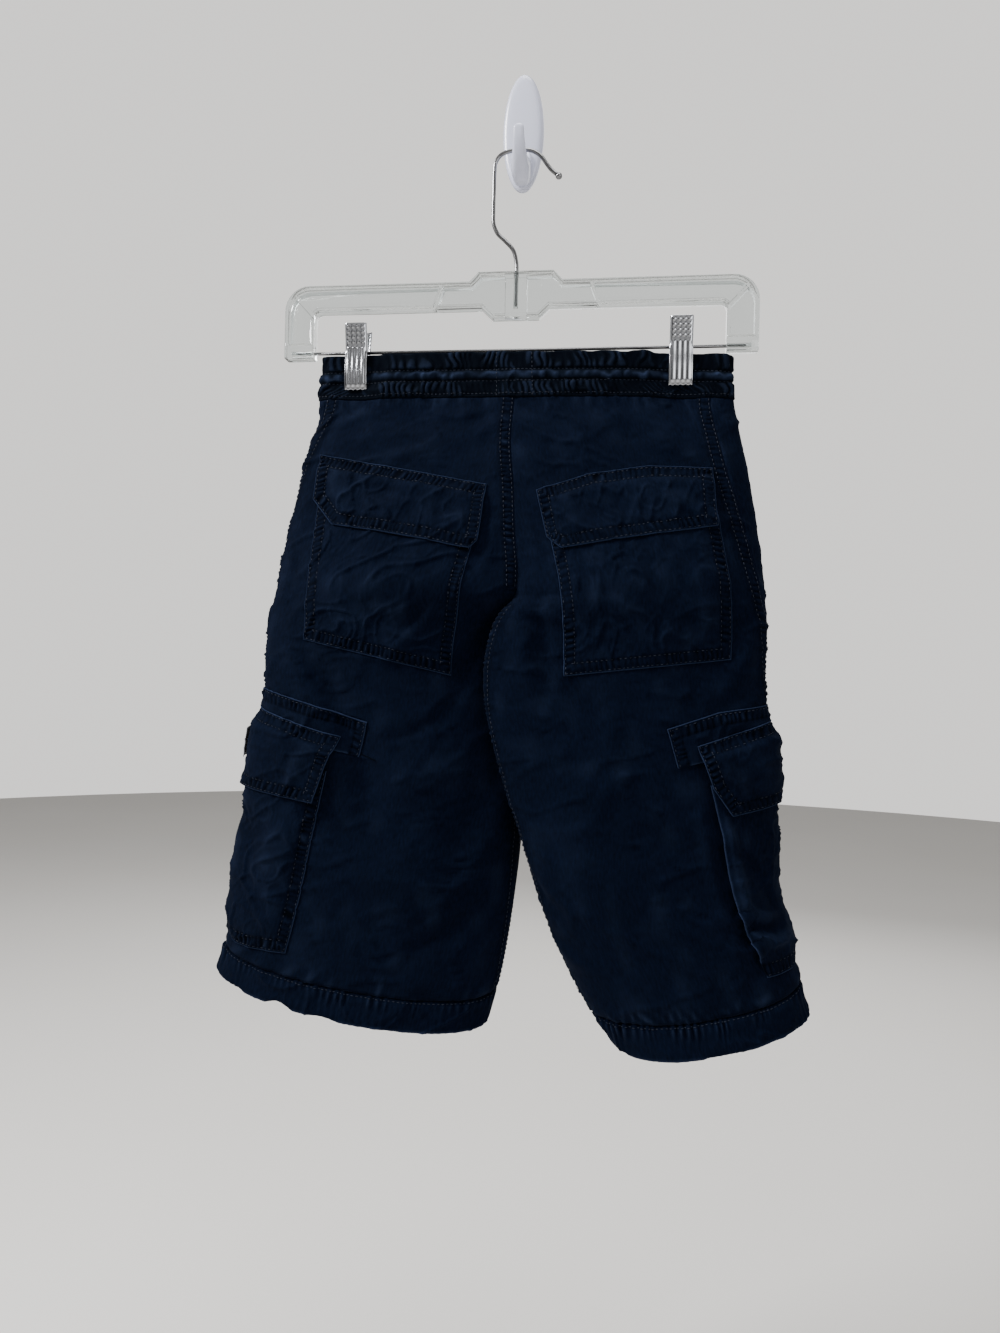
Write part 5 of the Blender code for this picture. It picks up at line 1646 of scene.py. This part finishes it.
@dataclass
class Waistband:
    """The elastic waistband: three rows of gathers, with a ruffled ridge between two of them."""

    left: Leg
    right: Leg
    finishes: Finishes
    stitches: StitchTree
    step: float = 0.85
    columns: int = 390
    cloth: float = 2.6
    pinches: tuple[float, float] = (28.0, 35.0)

    def build(self) -> None:
        """Make the band and its stitches."""
        low, high = WAISTBAND_TOP, WAIST_SEAM + 0.7
        rows = round((high - low - 1.2) / self.step)
        levels = np.concatenate([low + np.array([0.02, 0.25, 0.7]), np.linspace(low + 1.2, high, rows)])
        grids = []
        share = np.linspace(0, 1, self.columns)
        for leg, pinch, flip in ((self.left, self.pinches[0], False), (self.right, self.pinches[1], True)):
            back, front = leg.reaches(levels)
            a = share * (back + front)[:, None] - back[:, None]
            places = np.stack([a, np.broadcast_to(levels[:, None], a.shape)], -1)
            points = leg.spot(places.reshape(-1, 2))[0].reshape(a.shape + (3,))
            lift = leg.relief(places.reshape(-1, 2)).reshape(a.shape)
            clip = ramp(np.abs(np.abs(a) - pinch) - 7.5, 7.0)
            away = a + back[:, None]
            parts = [points, lift[..., None], clip[..., None], away[..., None], places]
            block = np.concatenate(parts, axis=-1)
            grids.append(block[:, ::-1] if flip else block)
        block = np.concatenate([grids[0][:, :-1], grids[1][:, :-1]], axis=1)
        block = np.concatenate([block, block[:, :1]], axis=1)
        points, lift, clip, away = block[..., :3], block[..., 3], block[..., 4], block[..., 5]
        steps = np.linalg.norm(np.diff(points.mean(0), axis=0), axis=1)
        s = np.concatenate([[0], np.cumsum(steps)])[None, :] + np.zeros(levels.shape)[:, None]
        level = levels[:, None] + np.zeros(s.shape)
        normals = grid_normals(points, self.left.outward, np.ones(len(levels), bool))
        rise, wear_and_shade = self.gathers(s, level)
        calm = clip * (0.35 + 0.65 * ramp(away - 10, 5))
        rim = ease(level - low, 1.6)
        hem = ease(high - level, 0.9)
        out = lift + 0.5 + rise * calm - 1.1 * (1 - rim) - 0.5 * (1 - hem)
        out = np.where(clip < 0.5, np.minimum(out, lift + 0.45), out)
        outer = points + normals * out[..., None]
        outer[..., 2] += 0.9 * Ripple(61)(s / 7, 3.0) * ramp(low + 9 - level, 9) * calm
        under = lift - self.cloth * rim - 1.2 * (1 - rim) + 0.3
        inner = points + normals * np.minimum(under, out - 0.5)[..., None]
        places = np.stack([s, level], -1)
        skin = Skin(outer[:, :-1], inner[:, :-1], places[:, :-1], wear_and_shade[:, :-1], ring=True)
        piece = skin.mesh("waistband_cloth", self.finishes.band)
        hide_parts("waistband")
        lines = []
        for want in (*GATHER_ROWS, BAND_FOOT_ROW):
            row = int(np.argmin(np.abs(levels - want)))
            lines.append(outer[row] + normals[row] * 0.1)
        middle = away[len(levels) // 2]
        first = int(np.argmin(np.abs(middle - BAND_RUN_IN)[: self.columns]))
        last = len(steps) - int(np.argmin(np.abs(middle[::-1] - BAND_RUN_IN)[: self.columns]))
        for column in (first, last):
            lines.append((outer[:, column] + normals[:, column] * 0.1)[4:-2])
        self.stitches.sew("waistband_stitches", lines, self.finishes.thread, Slot.BAND, pitch=2.6, stitch=1.9)

    @staticmethod
    def gathers(s: Array, level: Array) -> tuple[Array, Array]:
        """Height, and wear with painted shade, of the gathers.

        Args:
            s: distance round the band.
            level: distance down the cloth.

        Returns:
            The height over the band's smooth surface, and the wear with painted shade.
        """
        coarse, fine = Ripple(62), Ripple(63)
        top = ramp(level - WAISTBAND_TOP + 1, 3) * ramp(-17.6 - level, 3.0)
        low = ramp(level + 11.5, 3.0) * ramp(0.6 - level, 2.0)
        warp = 1.4 * coarse(s / 23, level / 11)
        turn = s / 5.4 + warp + 0.5 * fine(s / 9, level / 7)
        folds = np.abs(np.sin(math.pi * turn)) ** 0.8 * (0.75 + 0.9 * coarse(s / 8 + 40, level / 15)) - 0.35
        turn = s / 3.9 + 0.8 * warp + 0.5 * coarse(s / 7 + 20, level / 6)
        small = np.abs(np.sin(math.pi * turn)) ** 0.8 * (0.7 + 0.9 * fine(s / 7 + 30, level / 12)) - 0.3
        ruffle = groove(level + 14.6 + 1.5 * fine(s / 4.2, 1.0), 2.3)
        rise = 1.7 * folds * top + 1.35 * small * low
        rise = rise + (1.3 + 1.3 * fine(s / 2.8, level / 5)) * ruffle
        for line in GATHER_ROWS:
            rise = rise - 0.9 * groove(level - line, 0.9)
        rise = rise - 0.4 * groove(level + 1.6, 0.8)
        # painted shade: the valleys between gathers darken; their tops and the ruffle turn pale with wear
        wear_and_shade = 0.15 * np.clip(rise, -1, 1.5) - 0.9 * np.clip(0.35 - rise, 0, 1) * (top + low)
        wear_and_shade = wear_and_shade + 0.25 * ruffle * np.clip(fine(s / 3.1, 5.0) + 0.2, 0, 1)
        return rise, wear_and_shade


# ---- hanger --------------------------------------------------------------------------------
def tube(path: Array, radius: Array | float, sides: int) -> Array:
    """The sections of a round tube along a path.

    Args:
        path: the points of its middle.
        radius: its radius, or one at each point.
        sides: points round it.

    Returns:
        A (points of the path, sides, 3) array.
    """
    ways = unit(np.gradient(path, axis=0))
    side = np.zeros_like(path)
    start = np.cross(ways[0], (0.3, 0.9, 0.2))
    for k, way in enumerate(ways):
        start = start - way * (start @ way)
        start = start / np.linalg.norm(start)
        side[k] = start
    up = np.cross(ways, side)
    turn = np.linspace(0, 2 * math.pi, sides, endpoint=False)
    radius = np.broadcast_to(radius, len(path))[:, None, None]
    ring = side[:, None] * np.cos(turn)[None, :, None] + up[:, None] * np.sin(turn)[None, :, None]
    return path[:, None] + radius * ring


def lofted(name: str, sections: Array, finish: bpy.types.Material) -> bpy.types.Object:
    """Skin a row of closed sections and cap both ends.

    Args:
        name: the piece's name.
        sections: a (rows, sides, 3) array in millimetres.
        finish: its material.

    Returns:
        The piece.
    """
    rows, sides = sections.shape[:2]
    mesh = bpy.data.meshes.new(name)
    index = np.arange(rows * sides).reshape(rows, sides)
    after = np.roll(index, -1, axis=1)
    faces = np.stack([index[:-1], after[:-1], after[1:], index[1:]], -1).reshape(-1, 4).tolist()
    faces += [index[0, ::-1].tolist(), index[-1].tolist()]
    mesh.from_pydata((sections.reshape(-1, 3) * MM).tolist(), [], faces)
    work = bmesh.new()
    work.from_mesh(mesh)
    bmesh.ops.recalc_face_normals(work, faces=work.faces)
    work.to_mesh(mesh)
    work.free()
    mesh.shade_smooth()
    mesh.set_sharp_from_angle(angle=math.radians(42))
    return add_piece(name, mesh, finish)


CLIP_PLACES = {"left": -103.6, "right": 104.6}
CLIP_TOP, CLIP_BOTTOM = -131.7, -173.9
HANGER_X, HANGER_Y, ROD_Z = -0.5, -18.0, -148.3
HOOK_ROUTE = [
    (-0.5, -120.5), (-0.5, -100), (-0.8, -92), (-3, -84), (-8.6, -77.6), (-13.6, -72.6), (-16, -67),
    (-16.5, -58), (-16.5, -45), (-16.4, -33), (-15.8, -27), (-12.8, -22.4), (-6.7, -19.8), (1, -19.3),
    (8, -20.3), (13.2, -23.6), (17.2, -29), (20.4, -33), (23.6, -35.8),
]


@dataclass
class Hanger:
    """The clip hanger and the wall hook that holds it."""

    finishes: Finishes

    def build(self) -> None:
        """Make every hard piece."""
        self.body()
        self.rod()
        self.hook()
        for side, x in CLIP_PLACES.items():
            self.leaf(side, "room", x, 14.6, -1)
            self.leaf(side, "wall", x, 12.4, 1)
            self.spring(side, x)
        self.wall_hook()

    @staticmethod
    def stands_for(piece: bpy.types.Object, node: str, slot: Slot) -> None:
        """Hide the model's node that a piece replaces."""
        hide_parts(node)

    def body(self) -> None:
        """The moulded frame: the model's own solid, with its edges rounded."""
        work = bmesh.new()
        work.from_mesh(bpy.data.objects["hanger_frame"].data)
        bmesh.ops.remove_doubles(work, verts=work.verts, dist=2e-6)
        mesh = bpy.data.meshes.new("hanger_body")
        work.to_mesh(mesh)
        work.free()
        item = bpy.data.objects.new("hanger_body", mesh)
        bpy.context.scene.collection.objects.link(item)
        rounding = item.modifiers.new("rounding", "BEVEL")
        rounding.width = 0.35 * MM
        rounding.segments = 2
        rounding.limit_method = "ANGLE"
        rounding.angle_limit = math.radians(35)
        rounding.use_clamp_overlap = True
        mesh = frozen(item)
        mesh.shade_smooth()
        mesh.set_sharp_from_angle(angle=math.radians(30))
        self.stands_for(add_piece("hanger_body", mesh, self.finishes.plastic), "hanger_frame", Slot.PLASTIC)

    def rod(self) -> None:
        """The steel rod that the clips ride on."""
        x = np.array([-145.2, -145, -144.6, 144.6, 145, 145.2]) + HANGER_X
        path = np.stack([x, np.full(6, HANGER_Y), np.full(6, ROD_Z)], 1)
        sections = tube(path, np.array([0.5, 0.85, 1.05, 1.05, 0.85, 0.5]), 20)
        self.stands_for(lofted("clip_rod", sections, self.finishes.wire), "hanger_rod", Slot.STEEL)

    def hook(self) -> None:
        """The bent wire hook with a ball at its end."""
        route = curve_through([(x, HANGER_Y, z) for x, z in HOOK_ROUTE], 150)
        end, way = route[-1], unit(route[-1] - route[-2])
        turn = np.linspace(0.2, math.pi, 12)
        ball = end + np.outer(2.2 - 2.2 * np.cos(turn), way)
        path = np.concatenate([route, ball])
        radius = np.concatenate([np.full(150, 1.3), np.maximum(2.2 * np.sin(turn), 0.15)])
        radius[150] = 1.3
        sections = tube(path, radius, 18)
        self.stands_for(lofted("hanger_hook_wire", sections, self.finishes.wire), "hanger_hook", Slot.STEEL)

    def leaf(self, side: str, layer: str, x: float, width: float, out: int) -> None:
        """One leaf of a clip: dimpled where fingers press it, ribbed down to its toothed jaw.

        Args:
            side: which clip.
            layer: which leaf.
            x: the clip's middle.
            width: the leaf's width.
            out: -1 for the leaf that faces the room, 1 for the one that faces the wall.
        """
        drop = CLIP_TOP - CLIP_BOTTOM
        rows = np.concatenate([[0, 0.15, 0.4], np.linspace(0.8, drop - 0.4, 76), [drop]])
        near_edge = np.array([0, 0.15, 0.4])
        across = np.concatenate(
            [near_edge, np.linspace(0.8, width - 0.8, 28), width - near_edge[::-1]]
        )
        down, u = np.meshgrid(rows, across, indexing="ij")
        z = CLIP_TOP - down
        table = [(CLIP_BOTTOM, 6.1), (CLIP_BOTTOM + 2.4, 6.8), (-146, 7.6), (CLIP_TOP, 10.5)]
        face = between(table, z.ravel())[:, 0].reshape(z.shape)
        mid = u - width / 2
        cell = width / 4.6
        bumps = np.sin(math.pi * (mid / cell)) ** 2 * np.sin(math.pi * (down - 0.9) / 3.1) ** 2
        bumps = bumps * ramp(13.0 - down, 0.8) * ramp(down - 0.9, 0.6)
        ribs = np.sin(math.pi * (mid / cell)) ** 2 * ramp(down - 14.2, 1.4)
        ribs = ribs * ramp(drop - 1.6 - down, 1.2)
        near = np.minimum(u, width - u)
        fold = (1.7 - 1.4 * ramp(down - 16, 3)) * (1 - ease(near, 1.7))
        height = face + (0.55 * bumps ** 1.5 + 0.5 * ribs) * ramp(near - 0.9, 0.8) - fold
        height = height - 0.35 * (1 - ramp(down, 1.0))
        teeth = 0.55 * np.cos(2 * math.pi * mid / cell) * ramp(down - (drop - 1.2), 1.2)
        z = z + teeth * 0.6
        outer = np.stack([x + mid, HANGER_Y + out * height, z], -1)
        narrowed = mid * np.where(near < 0.8, 0.9, 1.0)
        inner = np.stack([x + narrowed, HANGER_Y + out * (height - 0.7), z], -1)
        skin = Skin(outer, inner, np.stack([mid, down], -1), np.zeros(z.shape))
        piece = skin.mesh(f"clip_{side}_{layer}_plate", self.finishes.chrome)
        self.stands_for(piece, f"clip_{side}_{layer}_leaf", Slot.CHROME)

    def spring(self, side: str, x: float) -> None:
        """The coil spring round the rod, between a clip's leaves."""
        turn = np.linspace(0, 2 * math.pi * 8, 8 * 14 + 1)
        along = x - 3.6 + 7.2 * turn / turn[-1]
        path = np.stack([along, HANGER_Y + 1.65 * np.cos(turn), ROD_Z + 1.65 * np.sin(turn)], 1)
        sections = tube(path, 0.34, 8)
        self.stands_for(
            lofted(f"clip_{side}_coil", sections, self.finishes.wire), f"clip_{side}_spring", Slot.STEEL
        )

    def wall_hook(self) -> None:
        """The glossy wall hook: a domed oval plate and a prong that rises from its foot."""
        profile = np.array(
            [(1, 1, 0), (1, 1, 1.6), (0.985, 0.995, 2.6), (0.95, 0.985, 3.5), (0.89, 0.965, 4.2),
             (0.80, 0.935, 4.7), (0.66, 0.86, 4.95), (0.4, 0.6, 5.1), (0.12, 0.2, 5.15)]
        )
        turn = np.linspace(0, 2 * math.pi, 96, endpoint=False)
        rings = np.stack(
            [
                HOOK_HALF_WIDTH * profile[:, :1] * np.cos(turn),
                -profile[:, 2:] + 0 * turn,
                HOOK_HALF_HEIGHT * profile[:, 1:2] * np.sin(turn),
            ],
            -1,
        )
        plate = lofted("hook_plate", rings, self.finishes.white)
        outside = curve_through(
            [(-3.5, -36), (-10, -36), (-17.5, -33), (-24, -27), (-28.4, -18), (-30.4, -8.5)], 60
        )
        inside = curve_through(
            [(-3.5, -10), (-8, -17.5), (-12.5, -21), (-18, -21.6), (-23, -19.3), (-26.2, -14.5), (-28, -7.9)], 60
        )
        middle, half = (outside + inside) / 2, (outside - inside) / 2
        width = 6.2 * (1 - 0.5 * np.clip((-middle[:, 0] - 14) / 16, 0, 1))
        tip = ease((1 - np.linspace(0, 1, 60)) * 40, 2.6)[:, None]
        way = np.linspace(0, 2 * math.pi, 40, endpoint=False)
        cx = np.sign(np.cos(way)) * np.abs(np.cos(way)) ** 0.62
        cy = np.sign(np.sin(way)) * np.abs(np.sin(way)) ** 0.62
        tip = np.maximum(tip, 0.08)
        spots = middle[:, None] + half[:, None] * (cy[None, :, None] * tip[:, None])
        body = np.stack([width[:, None] * tip * cx[None, :], spots[..., 0], spots[..., 1]], -1)
        prong = lofted("hook_prong", body, self.finishes.white)
        self.stands_for(plate, "wall_hook", Slot.WHITE)
        self.stands_for(prong, "wall_hook", Slot.WHITE)


def main() -> None:
    """Build the object, its stage and its camera."""
    logging.basicConfig(level=logging.INFO, format="%(message)s")
    finishes = Finishes()
    stitches = StitchTree()
    left = Leg(-1, LEFT_SIDE, LEFT_INSEAM_BACK, LEFT_CREASES, 11)
    right = Leg(1, RIGHT_SIDE, RIGHT_INSEAM_BACK, RIGHT_CREASES, 12)
    Panels({"left": left, "right": right}, finishes, stitches).build()
    SewnPieces(left, right, finishes, stitches).build()
    lines = [Hem(side, leg, finishes).build() for side, leg in (("left", left), ("right", right))]
    stitches.sew("hem_stitches", lines, finishes.thread, Slot.TWILL)
    Waistband(left, right, finishes, stitches).build()
    Hanger(finishes).build()
    Studio().build()


if __name__ == "__main__":
    main()
